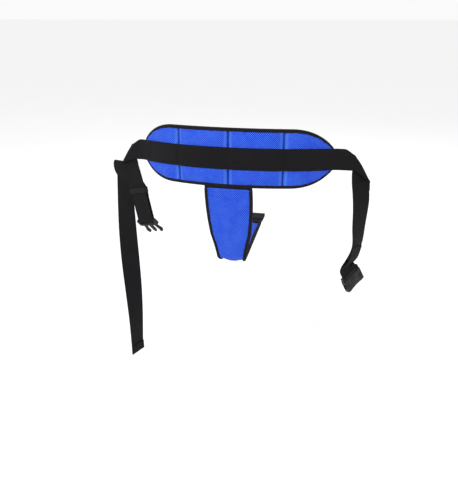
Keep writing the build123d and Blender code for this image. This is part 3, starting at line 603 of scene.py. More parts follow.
# ---------------------------------------------------------------- the webbing's route
class Route:
    """One side's webbing: along the pad, round the turn, over the diagonal fold, then a hanging frame list."""

    def __init__(self, turn_radius, turn_deg, fold_reach, lean, stub, flare, drapes):
        self.flare = flare
        self.upper_drape, self.lower_drape = drapes
        self.turn_len = turn_radius * radians(turn_deg)
        self.turn_rate = 1 / turn_radius
        self.droop = atan(BAND_DROOP)
        self.lean = radians(lean)
        self.stub = stub
        self.z_turn_end = -DROOP - BAND_DROOP * self.turn_len
        self.fold_s = PAD_HALF_ARC + self.turn_len + fold_reach
        self.fold_z = self.z_turn_end - BAND_DROOP * fold_reach
        self.fold_angle = self.droop + (pi / 2 + self.lean - self.droop) / 2
        self.open_angle = self.fold_angle - self.droop
        self.roll_len = pi * FOLD_R
        self.creep = self.roll_len / tan(self.open_angle)
        arcs = np.arange(0, self.fold_s + 300, 0.5)
        self.arcs = arcs
        self.heading = np.where(
            arcs < PAD_HALF_ARC,
            arcs / PAD_FRONT_R,
            TIP_ANGLE - np.clip(arcs - PAD_HALF_ARC, 0, self.turn_len) * self.turn_rate,
        )
        middle = (self.heading[1:] + self.heading[:-1]) / 2
        steps = np.stack([np.cos(middle), np.sin(middle)], -1) * 0.5
        self.plan = np.concatenate([[[0.0, PAD_BACK_R - PAD_FRONT_R]], [[0.0, PAD_BACK_R - PAD_FRONT_R]] + np.cumsum(steps, axis=0)])
        self.join_a = self.along_at(self.stub + JOINT_GAP / 2)

    def along_at(self, distance):
        """Length along the webbing where its middle has hung this far below the fold."""
        return self.fold_s + (self.roll_len + distance * sin(self.open_angle)) * cos(self.droop) / sin(self.open_angle)

    def lay(self, arc, z, depth):
        """A point by arc along the back face's line, height and depth in front of it."""
        x = np.interp(arc, self.arcs, self.plan[:, 0])
        y = np.interp(arc, self.arcs, self.plan[:, 1])
        heading = np.interp(arc, self.arcs, self.heading)
        return np.stack([x + depth * np.sin(heading), y - depth * np.cos(heading), z], -1)

    def middle_z(self, arc):
        beyond = -DROOP - BAND_DROOP * (arc - PAD_HALF_ARC)
        return np.where(arc < PAD_HALF_ARC, centre_z(arc), beyond)

    def band(self, along, across, lift):
        """A point of the webbing above the hanging part: lift is in front of its mid thickness."""
        along, across, lift = np.broadcast_arrays(np.asarray(along, float), across, lift)
        slope = np.where(along < PAD_HALF_ARC, atan(1) * 0 + np.arctan(2 * DROOP * along / PAD_HALF_ARC**2), self.droop)
        s = along + across * np.sin(slope)
        z = self.middle_z(along) + across * np.cos(slope)
        fold = self.fold_angle
        ds, dz = s - self.fold_s, z - self.fold_z
        over = ds * sin(fold) + dz * cos(fold)
        down = ds * cos(fold) - dz * sin(fold)
        turn = np.clip(over, 0, self.roll_len) / FOLD_R
        past = np.clip(over - self.roll_len, 0, None)
        reach = np.where(over < 0, over, (FOLD_R + lift) * np.sin(turn)) - past
        depth = np.where(over < 0, lift, -FOLD_R + (FOLD_R + lift) * np.cos(turn))
        arc = self.fold_s + down * cos(fold) + reach * sin(fold)
        height = self.fold_z - down * sin(fold) + reach * cos(fold)
        arc = arc + self.flare * np.exp(-(((height - self.fold_z + 62) / 27) ** 2))
        height = height - self.drape(arc, across) * (1 - smooth_step(past / 58))
        return self.lay(arc, height, WEBBING_T / 2 + depth)

    def drape(self, arc, across):
        """How far the webbing's two edges bend down as they come to the fold."""
        beyond = np.clip(arc - self.fold_s + 47, 0, None)
        upper = self.upper_drape * (1 - np.exp(-((beyond / 25) ** 2)))
        lower = self.lower_drape * smooth_step((beyond - 28) / 48)
        share = np.clip(0.5 + across / WEBBING_W, 0, 1)
        return upper * share + lower * (1 - share)

    def end_frame(self):
        """Where the hanging part starts: its middle, its width direction and its fall."""
        a = self.join_a
        here = self.band(a, 0.0, 0.0)
        across = unit(self.band(a, 10.0, 0.0) - self.band(a, -10.0, 0.0))
        fall = unit(self.band(a + 4, 0.0, 0.0) - self.band(a - 4, 0.0, 0.0))
        front = unit(self.band(a, 0.0, 1.0) - self.band(a, 0.0, -1.0))
        return here, across, fall, front


class Frames:
    """A ribbon through centres and width directions, sampled on smooth curves."""

    def __init__(self, centres, widths, front, first_fall=None, spacing=1.0):
        centres = np.asarray(centres, float)
        widths = [unit(w) for w in widths]
        for k in range(1, len(widths)):
            if widths[k] @ widths[k - 1] < 0:
                widths[k] = -widths[k]
        widths = np.array(widths)
        before = centres[0] - (first_fall if first_fall is not None else unit(centres[1] - centres[0])) * np.linalg.norm(centres[1] - centres[0])
        after = 2 * centres[-1] - centres[-2]
        pts = np.concatenate([[before], centres, [after]])
        wid = np.concatenate([[widths[0]], widths, [widths[-1]]])
        out_c, out_w = [], []
        for k in range(1, len(pts) - 2):
            span = np.linalg.norm(pts[k + 1] - pts[k])
            count = max(int(span / spacing), 2)
            knots = [0.0]
            for a, b in ((k - 1, k), (k, k + 1), (k + 1, k + 2)):
                knots.append(knots[-1] + max(np.linalg.norm(pts[b] - pts[a]), 1e-6) ** 0.5)
            t = np.linspace(knots[1], knots[2], count, endpoint=False)[:, None]
            for values, out in ((pts, out_c), (wid, out_w)):
                p0, p1, p2, p3 = values[k - 1 : k + 3]
                a1 = (knots[1] - t) / (knots[1] - knots[0]) * p0 + (t - knots[0]) / (knots[1] - knots[0]) * p1
                a2 = (knots[2] - t) / (knots[2] - knots[1]) * p1 + (t - knots[1]) / (knots[2] - knots[1]) * p2
                a3 = (knots[3] - t) / (knots[3] - knots[2]) * p2 + (t - knots[2]) / (knots[3] - knots[2]) * p3
                b1 = (knots[2] - t) / (knots[2] - knots[0]) * a1 + (t - knots[0]) / (knots[2] - knots[0]) * a2
                b2 = (knots[3] - t) / (knots[3] - knots[1]) * a2 + (t - knots[1]) / (knots[3] - knots[1]) * a3
                out.append((knots[2] - t) / (knots[2] - knots[1]) * b1 + (t - knots[1]) / (knots[2] - knots[1]) * b2)
        self.centre = np.concatenate(out_c + [centres[-1:]])
        across = unit(np.concatenate(out_w + [widths[-1:]]))
        fall = unit(np.gradient(self.centre, axis=0))
        if first_fall is not None:
            fall[0] = unit(first_fall)
        across = unit(across - fall * (across * fall).sum(1, keepdims=True))
        normal = np.cross(fall, across)
        self.normal = normal if normal[0] @ front > 0 else -normal
        self.across = across
        self.fall = fall
        self.length = np.concatenate([[0], np.cumsum(np.linalg.norm(np.diff(self.centre, axis=0), axis=1))])

    def place(self, along, across, lift):
        along, across, lift = np.broadcast_arrays(np.asarray(along, float), across, lift)
        def pick(values):
            return np.stack([np.interp(along, self.length, values[:, k]) for k in range(3)], -1)
        return pick(self.centre) + unit(pick(self.across)) * across[..., None] + unit(pick(self.normal)) * lift[..., None]


def webbing_section(width, thick, columns=14):
    """Closed section of webbing: rounded edges and a slightly thicker selvedge."""
    half = width / 2
    b = np.linspace(-half + 0.5, half - 0.5, columns + 1)
    rim = 0.12 * (np.abs(b) > half - 3.2)
    top = list(zip(b, thick / 2 + rim))
    right = [(half - 0.12, thick * 0.36), (half, 0.0), (half - 0.12, -thick * 0.36)]
    bottom = [(x, -y) for x, y in top[::-1]]
    left = [(-x, -y) for x, y in right]
    return np.array(top + right + bottom + left)


def strip(name, place, start, stop, spacing=2.5, width=WEBBING_W, thick=WEBBING_T, wobble=None, across_uv=0.0):
    """Webbing along a route from start to stop, in millimetres along it."""
    section = webbing_section(width, thick)
    along = np.linspace(start, stop, max(int(abs(stop - start) / spacing), 2) + 1)
    a = along[:, None] + 0 * section[None, :, 0]
    b = section[None, :, 0] + 0 * a
    t = section[None, :, 1] + 0 * a
    if wobble is not None:
        t = t + wobble(a, b)
    return ring_mesh(name, place(a, b, t), np.stack([b + across_uv, a], -1))


def mirror(place):
    """The same route on the other side."""
    def mirrored(along, across, lift):
        return place(along, across, lift) * np.array([-1.0, 1.0, 1.0])
    return mirrored


# ---------------------------------------------------------------- lap pad
SIDES = ((1, "right"), (-1, "left"))
for side, word in SIDES:
    front, back = pad_half(side)
    wing = f"{word}_wing"
    joint = wing_joint(side)
    front_nodes = [f"front_cover_{word}", f"pad_foam_{word}_outer", f"pad_foam_{word}_inner"]
    back_nodes = [f"back_cover_{word}"]
    if side > 0:
        front_nodes.append("front_cover_centre")
        back_nodes.append("back_cover_centre")
    finish_piece(front, "mesh_blue", LAP_BLUE, ["lap_pad", wing], front_nodes, joint)
    finish_piece(back, "mesh_blue", LAP_BLUE, ["lap_pad", wing], back_nodes, joint)

    def on_pad(arc, z, depth):
        return pad_point(arc, z, depth)

    rim_path = outline_path(side)
    binding = sweep_binding(f"pad_binding_{word}_tape", rim_path, on_pad)
    nodes = [f"pad_binding_{word}"] + (["pad_binding_centre"] if side > 0 else [])
    finish_piece(binding, "binding_black", BINDING, ["lap_pad", wing], nodes, joint)
    length, inward = path_frames(rim_path)
    for face, name in ((1, "front"), (-1, "back")):
        line = rim_path + inward * (BINDING_W - 1.9)
        rows = pad_row(line[:, 0], line[:, 1], face * 5.0, face)
        stitch_row(f"binding_stitches_{name}_{word}", *rows, THREAD, "thread_black", ["lap_pad", wing], joint)
    for place, at in (("wing", CHANNEL_ARC), ("middle", 0.0)):
        if place == "middle" and side < 0:
            continue
        for face, name in ((1, "front"), (-1, "back")):
            high = float(half_height(at)) - BINDING_W - 1
            gaps = ((-high, -WEBBING_W / 2 - 0.5), (WEBBING_W / 2 + 0.5, high)) if face > 0 else ((-high, high),)
            for number, (low_z, high_z) in enumerate(gaps):
                heights = np.linspace(low_z, high_z, 40) + centre_z(at)
                rows = pad_row(np.full(40, side * at), heights, face * (CHANNEL_DEPTH + 0.25), face)
                bodies = ["lap_pad", wing] if place == "wing" else ["lap_pad"]
                stitch_row(f"channel_stitches_{place}_{name}_{word}_{number}", *rows, SEAM_BLUE, "mesh_blue", bodies,
                           joint if place == "wing" else None, pitch=3.0, long=2.5, thick=0.42)


# ---------------------------------------------------------------- webbing on the pad and its folds
ROUTES = {
    "left": Route(turn_radius=66.8, turn_deg=26.04, fold_reach=31.6, lean=14, stub=26.5, flare=0.0, drapes=(15, 10)),
    "right": Route(turn_radius=86.1, turn_deg=15.04, fold_reach=49, lean=6, stub=44, flare=6.0, drapes=(18, 24)),
}
WING_CUT = 190.0


def pad_dips(along, across):
    """The webbing sinks a little where the channels run under it and stands up between."""
    near = np.minimum(np.abs(along), np.abs(along - CHANNEL_ARC))
    dip = -1.4 * np.exp(-((near / 5.0) ** 2)) - 0.25 * np.exp(-(((np.abs(across) - 25) / 3) ** 2))
    ripple = dip + 0.22 * np.sin(along / 17.0) * np.cos(across / 11.0)
    return ripple * (1 - smooth_step((along - WING_CUT + 34) / 30))


def joint_line(point, along, before, after):
    return (point - along * before) * MM, (point + along * after) * MM


placed = {}
for side, word in SIDES:
    route = ROUTES[word]
    place = route.band if side > 0 else mirror(route.band)
    placed[word] = place
    wing = f"{word}_wing"
    on_pad_strap = strip(f"webbing_on_pad_{word}", place, 0, WING_CUT, wobble=pad_dips)
    nodes = [f"waist_webbing_{word}"] + (["waist_webbing_centre"] if side > 0 else [])
    finish_piece(on_pad_strap, "webbing_black", WEBBING, ["lap_pad", wing], nodes, wing_joint(side))
    tip = pad_point(side * PAD_HALF_ARC, -DROOP, PAD_T / 2)
    tip_along = np.array([side * cos(TIP_ANGLE), sin(TIP_ANGLE), 0])
    middle_cut = route.fold_s - 42
    crossing = strip(f"webbing_over_tip_{word}", place, WING_CUT, middle_cut)
    finish_piece(crossing, "webbing_black", WEBBING, [wing, f"{word}_band"], (), joint_line(tip, tip_along, 4, 12))

    edge_arcs = np.linspace(4, PAD_HALF_ARC - 6, 150)
    for edge in (-1, 1):
        z = centre_z(edge_arcs) + edge * (WEBBING_W / 2 - 3.6)
        rows = pad_row(side * edge_arcs, z, PAD_T / 2 + WEBBING_T + 0.1)
        stitch_row(f"webbing_stitches_{'upper' if edge > 0 else 'lower'}_{word}", *rows, THREAD, "thread_black",
                   ["lap_pad", wing], wing_joint(side), pitch=3.6)
    box_arcs = (PAD_HALF_ARC - 33, PAD_HALF_ARC - 11)
    corners = [(box_arcs[0], -19), (box_arcs[1], -19), (box_arcs[1], 19), (box_arcs[0], 19)]
    lines = [corners + corners[:1], [corners[0], corners[2]], [corners[1], corners[3]]]
    for number, line in enumerate(lines):
        line = np.array(line, float)
        steps = np.linspace(0, len(line) - 1, 60)
        arcs = np.interp(steps, range(len(line)), line[:, 0])
        z = np.interp(steps, range(len(line)), line[:, 1]) + centre_z(arcs)
        rows = pad_row(side * arcs, z, PAD_T / 2 + WEBBING_T + 0.15)
        made = stitch_row(f"end_stitches_{number}_{word}", *rows, THREAD, "thread_black", [wing], pitch=2.8, long=2.2, thick=0.36)
        if number == 0:
            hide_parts(f"end_stitching_{word}")


# ---------------------------------------------------------------- right drop
def long_strip(name, parts, spacing=2.5, width=WEBBING_W, thick=WEBBING_T):
    """One piece of webbing over several routes that follow each other: (place, start, stop, wobble)."""
    section = webbing_section(width, thick)
    rings, uvs, walked = [], [], 0.0
    for number, (place, start, stop, wobble) in enumerate(parts):
        along = np.linspace(start, stop, max(int(abs(stop - start) / spacing), 2) + 1)
        along = along[1:] if number else along
        a = along[:, None] + 0 * section[None, :, 0]
        b = section[None, :, 0] + 0 * a
        t = section[None, :, 1] + 0 * a
        if wobble is not None:
            t = t + wobble(a, b)
        rings.append(place(a, b, t))
        uvs.append(np.stack([b, a - start + walked], -1))
        walked += stop - start
    return ring_mesh(name, np.concatenate(rings), np.concatenate(uvs))


FEMALE_BAR = np.array([287.0, 116.0, -308.0])
FEMALE_X = unit([0.55, 0.72, 0.44])
FEMALE_Y = np.array([0.45, 0.27, -0.85])
FEMALE_Y = unit(FEMALE_Y - FEMALE_X * (FEMALE_Y @ FEMALE_X))
FEMALE_Z = np.cross(FEMALE_X, FEMALE_Y)
DROP_END = 9


def heading(angle):
    return np.array([cos(radians(angle)), sin(radians(angle)), 0])


def wrap_points(origin, down, out, radius=BAR_WRAP_R, lead=1.2):
    """Round a bar: from the out side, under it, and to the other side."""
    turns = np.radians([90, 60, 30, 0, -30, -60, -90])
    points = [origin + down * radius * cos(t) + out * radius * sin(t) for t in turns]
    return [origin - down * lead + out * radius, *points[1:-1], origin - down * lead - out * radius]


start, across, fall, front = ROUTES["right"].end_frame()
drop_end = FEMALE_BAR - FEMALE_Y * DROP_END
layer_step = WEBBING_T + 0.35
route_points = [
    (start, across),
    (np.array([300.0, 119.0, -125.0]), heading(42)),
    (np.array([300.0, 119.0, -180.0]), heading(52)),
    (np.array([299.0, 118.0, -236.0]), heading(62)),
    (drop_end - FEMALE_Y * 10 + FEMALE_Z * 0.2, FEMALE_X),
    (drop_end + FEMALE_Y * 3 + FEMALE_Z * 1.8, FEMALE_X),
]
route_points += [(p, FEMALE_X) for p in wrap_points(FEMALE_BAR, FEMALE_Y, FEMALE_Z)]
route_points += [
    (drop_end + FEMALE_Y * 3 - FEMALE_Z * 2.9, FEMALE_X),
    (drop_end - FEMALE_Y * 8 - FEMALE_Z * 2.2, FEMALE_X),
]
run = unit(drop_end - np.array([299.0, 118.0, -236.0]))
top_across = heading(62)
top_normal = unit(np.cross(run, top_across))
top_normal = -top_normal if top_normal @ FEMALE_Z > 0 else top_normal
fold_top = np.array([299.0, 118.0, -236.0]) + top_normal * layer_step
route_points += [
    ((fold_top + drop_end - FEMALE_Z * 2.2) / 2, unit(top_across + FEMALE_X)),
    (fold_top, top_across),
]
DROP = Frames([p for p, _ in route_points], [w for _, w in route_points], front, first_fall=fall)
right_cut = 50.0
right_route = ROUTES["right"]
hang = long_strip("webbing_fold_right", [
    (right_route.band, right_route.fold_s - 42, right_route.join_a, None),
    (DROP.place, 0.0, right_cut, None),
], spacing=1.8)
finish_piece(hang, "webbing_black", WEBBING, ["right_band", "right_drop"], ["right_band"],
             joint_line(start, fall, 6, 8))
drop = strip("webbing_drop_right", DROP.place, right_cut, DROP.length[-1], spacing=1.6)
finish_piece(drop, "webbing_black", WEBBING, ["right_drop"], ["drop_webbing", "drop_fold_back", "bar_loop"])


def frame_row(frames, pairs, side=1, mirrored=False):
    """Points and normals on a hanging ribbon's face, by (along, across)."""
    pairs = np.array(pairs, float)
    low = frames.place(pairs[:, 0], pairs[:, 1], side * (WEBBING_T / 2 + 0.02))
    high = frames.place(pairs[:, 0], pairs[:, 1], side * (WEBBING_T / 2 + 1.02))
    flip = np.array([-1.0, 1, 1]) if mirrored else np.ones(3)
    return low * flip, (high - low) * flip


def box_stitch(name, frames, start, stop, half, side, bodies, mirrored=False):
    """A boxed cross of stitches on a hanging ribbon."""
    box = [(start, -half), (stop, -half), (stop, half), (start, half), (start, -half)]
    for number, line in enumerate((box, [box[0], box[2]], [box[1], box[3]])):
        line = np.array(line, float)
        steps = np.linspace(0, len(line) - 1, 20 * len(line))
        pairs = [(np.interp(s, range(len(line)), line[:, 0]), np.interp(s, range(len(line)), line[:, 1])) for s in steps]
        stitch_row(f"{name}_{number}", *frame_row(frames, pairs, side, mirrored), THREAD, "thread_black", bodies, pitch=2.8, long=2.2)


tail_of_drop = DROP.length[-1]
box_stitch("drop_stitches", DROP, tail_of_drop - 44, tail_of_drop - 4, 20, 1, ["right_drop"])


# ---------------------------------------------------------------- left run, turn and tail
LEFT_ROUTE = ROUTES["left"]
HEAD = LEFT_ROUTE.heading[-1]
BAND_OUT = np.array([cos(HEAD), sin(HEAD), 0])
BAND_FRONT = np.array([sin(HEAD), -cos(HEAD), 0])
UP = np.array([0.0, 0, 1])
RUN_DOWN = -sin(LEFT_ROUTE.lean) * BAND_OUT - cos(LEFT_ROUTE.lean) * UP
RUN_X = cos(LEFT_ROUTE.lean) * BAND_OUT - sin(LEFT_ROUTE.lean) * UP
RUN_TOP = LEFT_ROUTE.lay(
    LEFT_ROUTE.fold_s + LEFT_ROUTE.creep * cos(LEFT_ROUTE.fold_angle),
    LEFT_ROUTE.fold_z - LEFT_ROUTE.creep * sin(LEFT_ROUTE.fold_angle),
    -6.0 - WEBBING_T / 2 - LAYER_STEP / 2,
)


def run_at(distance, back=0.0):
    """A point midway between the run's layers, in the right-hand frame."""
    return RUN_TOP + RUN_DOWN * distance - BAND_FRONT * back


BAR_AT = LEFT_ROUTE.stub + JOINT_GAP + RUN_LEN
MALE_BAR = run_at(BAR_AT)
MALE_X = RUN_X
MALE_Y = RUN_DOWN * cos(radians(BUCKLE_TILT)) - BAND_FRONT * sin(radians(BUCKLE_TILT))
MALE_Z = np.cross(MALE_X, MALE_Y)

start, across, fall, front = LEFT_ROUTE.end_frame()
half_step = LAYER_STEP / 2
left_points = [(start, across)]
left_points += [(run_at(d, -half_step), RUN_X) for d in (70, 115, 160)]
left_points += [(p, RUN_X) for p in wrap_points(MALE_BAR, RUN_DOWN, BAND_FRONT, lead=5)]
left_points += [(run_at(d, half_step), RUN_X) for d in (160, 125, 98)]
back = np.array([-sin(radians(TAIL_TWIST[0])), cos(radians(TAIL_TWIST[0])), 0])
tail_x = heading(TAIL_TWIST[0])
turn_centre = TAIL_TOP + UP * TURN_RISE - back * TURN_R
left_points += [(turn_centre - back * TURN_R - UP * 14, unit(0.25 * RUN_X + tail_x))]
for t in np.radians([-90, -55, -20, 20, 55, 90]):
    left_points.append((turn_centre + back * TURN_R * sin(t) + UP * TURN_R * cos(t), tail_x))
left_points += [(TAIL_TOP + UP * 8, tail_x), (TAIL_TOP - UP * 6, tail_x)]
tail_step = (TAIL_TOP[2] - TAIL_END_Z - 28) / (len(TAIL_TWIST) - 1)
sway = ((0, 0), (1.5, -1), (3, 1), (2, 3), (-1, 3), (-3, 1), (-2, 0))
for index in range(1, len(TAIL_TWIST)):
    centre = TAIL_TOP - UP * tail_step * index + np.array([*sway[index], 0])
    left_points.append((centre, heading(TAIL_TWIST[index])))
hem_x = heading(TAIL_TWIST[-1])
hem_out = np.cross(hem_x, UP)
hem_base = left_points[-1][0] - UP * 25.6
for out, rise in ((0.0, 0.0), (0.35, -1.1), (1.15, -1.5), (1.95, -1.1), (2.3, 0.0), (2.25, 12.0), (2.2, 25.0)):
    left_points.append((hem_base + hem_out * out + UP * rise, hem_x))
RUN = Frames([p for p, _ in left_points], [w for _, w in left_points], front, first_fall=fall)


def along_near(frames, point):
    """How far along a ribbon its middle passes nearest to a point."""
    return float(frames.length[np.argmin(np.linalg.norm(frames.centre - point, axis=1))])


def flip(point):
    return np.asarray(point) * np.array([-1.0, 1, 1])


run_place = mirror(RUN.place)
run_cut = along_near(RUN, run_at(75, -half_step))
tail_cut = along_near(RUN, TAIL_TOP + UP * 7)
hang = long_strip("webbing_fold_left", [
    (placed["left"], LEFT_ROUTE.fold_s - 42, LEFT_ROUTE.join_a, None),
    (run_place, 0.0, run_cut, None),
], spacing=1.8)
finish_piece(hang, "webbing_black", WEBBING, ["left_band", "left_run"], ["left_band"],
             joint_line(flip(start), flip(fall), 4, 7))
run = strip("webbing_run_left", run_place, run_cut, tail_cut, spacing=1.6)
finish_piece(run, "webbing_black", WEBBING, ["left_run"], ["left_run_webbing", "return_webbing", "tail_turn"])
tail = strip("webbing_tail", run_place, tail_cut, RUN.length[-1], spacing=2.2)
finish_piece(tail, "webbing_black", WEBBING, ["left_run", "left_tail"], ["tail_webbing", "tail_hem"],
             ((-TAIL_TOP[0] * MM, TAIL_TOP[1] * MM, (TAIL_TOP[2] + 5) * MM), (-TAIL_TOP[0] * MM, TAIL_TOP[1] * MM, (TAIL_TOP[2] - 6) * MM)))
for number, rise in enumerate((4.0, 20.0)):
    pairs = [(RUN.length[-1] - rise, x) for x in np.linspace(-22, 22, 24)]
    stitch_row(f"hem_stitches_{number}", *frame_row(RUN, pairs, 1, True), THREAD, "thread_black", ["left_tail"], pitch=2.8, long=2.2)

keeper_centre = run_at(LEFT_ROUTE.stub + JOINT_GAP + KEEPER_AT)
half_w, half_h, corner = WEBBING_W / 2 + 0.9, LAYER_STEP / 2 + WEBBING_T / 2 + 0.8, 1.6
outline, outward = [], []
for cx, cz, first in ((1, 1, 0), (-1, 1, 90), (-1, -1, 180), (1, -1, 270)):
    for turn in np.radians(np.linspace(first, first + 90, 7)):
        outward.append((cos(turn), sin(turn)))
        outline.append((cx * (half_w - corner) + corner * cos(turn), cz * (half_h - corner) + corner * sin(turn)))
dense_outline, dense_out = [], []
for k in range(len(outline)):
    a, b = np.array(outline[k]), np.array(outline[(k + 1) % len(outline)])
    count = max(int(np.linalg.norm(b - a) / 3), 1)
    for s in range(count):
        dense_outline.append(a + (b - a) * s / count)
        dense_out.append(unit(np.array(outward[k]) * (1 - s / count) + np.array(outward[(k + 1) % len(outline)]) * s / count))
half_len = KEEPER_LEN / 2
keeper_section = [(x, 1.4 + 0.08 * cos(x * 4)) for x in np.linspace(-half_len + 0.4, half_len - 0.4, 9)]
keeper_section += [(half_len, 1.0), (half_len, 0.4)] + [(x, 0.05) for x in (half_len - 0.4, 0, -half_len + 0.4)]
keeper_section += [(-half_len, 0.4), (-half_len, 1.0)]
rings, uvs, walked = [], [], 0.0
for k, (point, out) in enumerate(zip(dense_outline, dense_out)):
    ring = [flip(keeper_centre + RUN_DOWN * y + RUN_X * (point[0] + out[0] * lift) + BAND_FRONT * (point[1] + out[1] * lift)) for y, lift in keeper_section]
    rings.append(ring)
    walked += float(np.linalg.norm(dense_outline[k] - dense_outline[k - 1])) if k else 0.0
    uvs.append([(y, walked) for y, _ in keeper_section])
keeper = ring_mesh("elastic_keeper", np.array(rings), np.array(uvs), closed=True)
finish_piece(keeper, "elastic_black", ELASTIC, ["keeper"], ["keeper"])


# ---------------------------------------------------------------- buckles
def rounded(points, radii, steps=5):
    """A polygon with each corner rounded."""
    points = [np.array(p, float) for p in points]
    radii = [radii] * len(points) if np.isscalar(radii) else radii
    result = []
    for k, (point, radius) in enumerate(zip(points, radii)):
        before, after = points[k - 1], points[(k + 1) % len(points)]
        to_before, to_after = unit(before - point), unit(after - point)
        half_turn = acos(float(np.clip(to_before @ to_after, -1, 1))) / 2
        cut = min(radius / max(tan(half_turn), 1e-3), 0.48 * np.linalg.norm(before - point), 0.48 * np.linalg.norm(after - point))
        a, b = point + to_before * cut, point + to_after * cut
        for s in np.linspace(0, 1, steps):
            result.append((1 - s) ** 2 * a + 2 * s * (1 - s) * point + s * s * b)
    return result


def plate(loops, low, high, bevel, axes, crown=0.0):
    """A flat moulded shape with rounded edges, as points in millimetres and faces."""
    curve = bpy.data.curves.new("plate", "CURVE")
    curve.dimensions = "2D"
    curve.fill_mode = "BOTH"
    curve.bevel_depth = bevel
    curve.bevel_resolution = 2
    curve.extrude = (high - low) / 2 - bevel
    curve.offset = -bevel
    for loop in loops:
        spline = curve.splines.new("POLY")
        spline.points.add(len(loop) - 1)
        for target, point in zip(spline.points, loop):
            target.co = (point[0], point[1], 0, 1)
        spline.use_cyclic_u = True
    holder = bpy.data.objects.new("plate", curve)
    bpy.context.scene.collection.objects.link(holder)
    graph = bpy.context.evaluated_depsgraph_get()
    mesh = bpy.data.meshes.new_from_object(holder.evaluated_get(graph))
    bpy.data.objects.remove(holder)
    bpy.data.curves.remove(curve)
    verts = np.array([v.co for v in mesh.vertices])
    faces = [tuple(f.vertices) for f in mesh.polygons]
    bpy.data.meshes.remove(mesh)
    verts[:, 2] += (low + high) / 2
    origin, x, y, z = axes
    return origin + verts[:, :1] * x + verts[:, 1:2] * y + verts[:, 2:] * z, faces


def rod(start, end, radius, axes, sides=24, round_end=0.4):
    """A round bar between two points of a buckle's frame."""
    origin, x, y, z = axes
    start, end = np.array(start, float), np.array(end, float)
    along = unit(end - start)
    up = unit(np.cross(along, (0.3, 0.9, 0.31)))
    out = np.cross(along, up)
    length = np.linalg.norm(end - start)
    stations = ((0, radius - round_end), (round_end, radius), (length - round_end, radius), (length, radius - round_end))
    verts, faces = [], []
    for at, r in stations:
        for k in range(sides):
            turn = 2 * pi * k / sides
            p = start + along * at + (up * cos(turn) + out * sin(turn)) * r
            verts.append(origin + p[0] * x + p[1] * y + p[2] * z)
    for s in range(len(stations) - 1):
        for k in range(sides):
            n = (k + 1) % sides
            faces.append((s * sides + k, s * sides + n, (s + 1) * sides + n, (s + 1) * sides + k))
    faces.append(tuple(range(sides))[::-1])
    faces.append(tuple((len(stations) - 1) * sides + k for k in range(sides)))
    return np.array(verts), faces


def moulding(name, parts, mirrored=False):
    """Several plates and rods as one moulded piece."""
    verts, faces, base = [], [], 0
    for points, polygons in parts:
        points = np.array(points)
        if mirrored:
            points = points * np.array([-1.0, 1, 1])
        verts.append(points)
        faces += [tuple(base + i for i in polygon) for polygon in polygons]
        base += len(points)
    obj = make_mesh(name, np.concatenate(verts), faces)
    bm = bmesh.new()
    bm.from_mesh(obj.data)
    bmesh.ops.remove_doubles(bm, verts=bm.verts, dist=0.00002)
    bmesh.ops.dissolve_degenerate(bm, edges=bm.edges, dist=0.00001)
    bmesh.ops.recalc_face_normals(bm, faces=bm.faces)
    bm.to_mesh(obj.data)
    bm.free()
    sharp = radians(40)
    obj.data.set_sharp_from_angle(angle=sharp)
    return obj


def rectangle(x0, x1, y0, y1, radius):
    return rounded([(x0, y0), (x1, y0), (x1, y1), (x0, y1)], radius)


FEMALE = (FEMALE_BAR, FEMALE_X, FEMALE_Y, FEMALE_Z)
mouth = [(-31, 7), (31, 7), (31, 41.2), (22, 42), (12, 40.6), (0, 39.8), (-12, 40.6), (-22, 42), (-31, 41.2)]
shell_radii = [4, 4, 3.5, 5, 14, 30, 14, 5, 3.5]
parts = []
for face in (-1, 1):
    low, high = sorted((face * 4.3, face * 6.4))
    parts.append(plate([rounded(mouth, shell_radii)], low, high, 0.8, FEMALE))
    low, high = sorted((face * 6.0, face * 6.9))
    parts.append(plate([rectangle(-21, 21, 10.5, 13.0, 1.2)], low, high, 0.35, FEMALE))
    for rib in (-1, 1):
        for k in range(4):
            x = rib * (19.5 + 2.6 * k)
            parts.append(plate([rectangle(x - 0.7, x + 0.7, 19.5, 31.0, 0.65)], low, high, 0.3, FEMALE))
    parts.append(plate([rounded([(-11, 16), (11, 16), (8, 33), (-8, 33)], 4)], low, high - 0.3 if face > 0 else high, 0.3, FEMALE))
for side in (-1, 1):
    outer, inner = sorted((side * 27.2, side * 31)), sorted((side * 26.9, side * 31))
    parts.append(plate([rectangle(outer[0], outer[1], 7, 18.5, 1.4)], -6.0, 6.0, 0.7, FEMALE))
    parts.append(plate([rectangle(outer[0], outer[1], 31.5, 41.4, 1.4)], -6.0, 6.0, 0.7, FEMALE))
    parts.append(plate([rectangle(inner[0], inner[1], -3.2, 12, 2.6)], -3.5, 3.5, 0.8, FEMALE))
    low, high = sorted((side * 6.2, side * 7.6))
    parts.append(plate([rectangle(low, high, 13, 39, 0.6)], -4.6, 4.6, 0.2, FEMALE))
parts.append(plate([rectangle(-30, 30, 7.2, 11, 0.8)], -5.6, 5.6, 0.5, FEMALE))
parts.append(rod((-30, 0, 0), (30, 0, 0), 2.0, FEMALE))
female = moulding("female_buckle_shell", parts)
finish_piece(female, "buckle_black", PLASTIC, ["female_buckle"], ["female_buckle"])

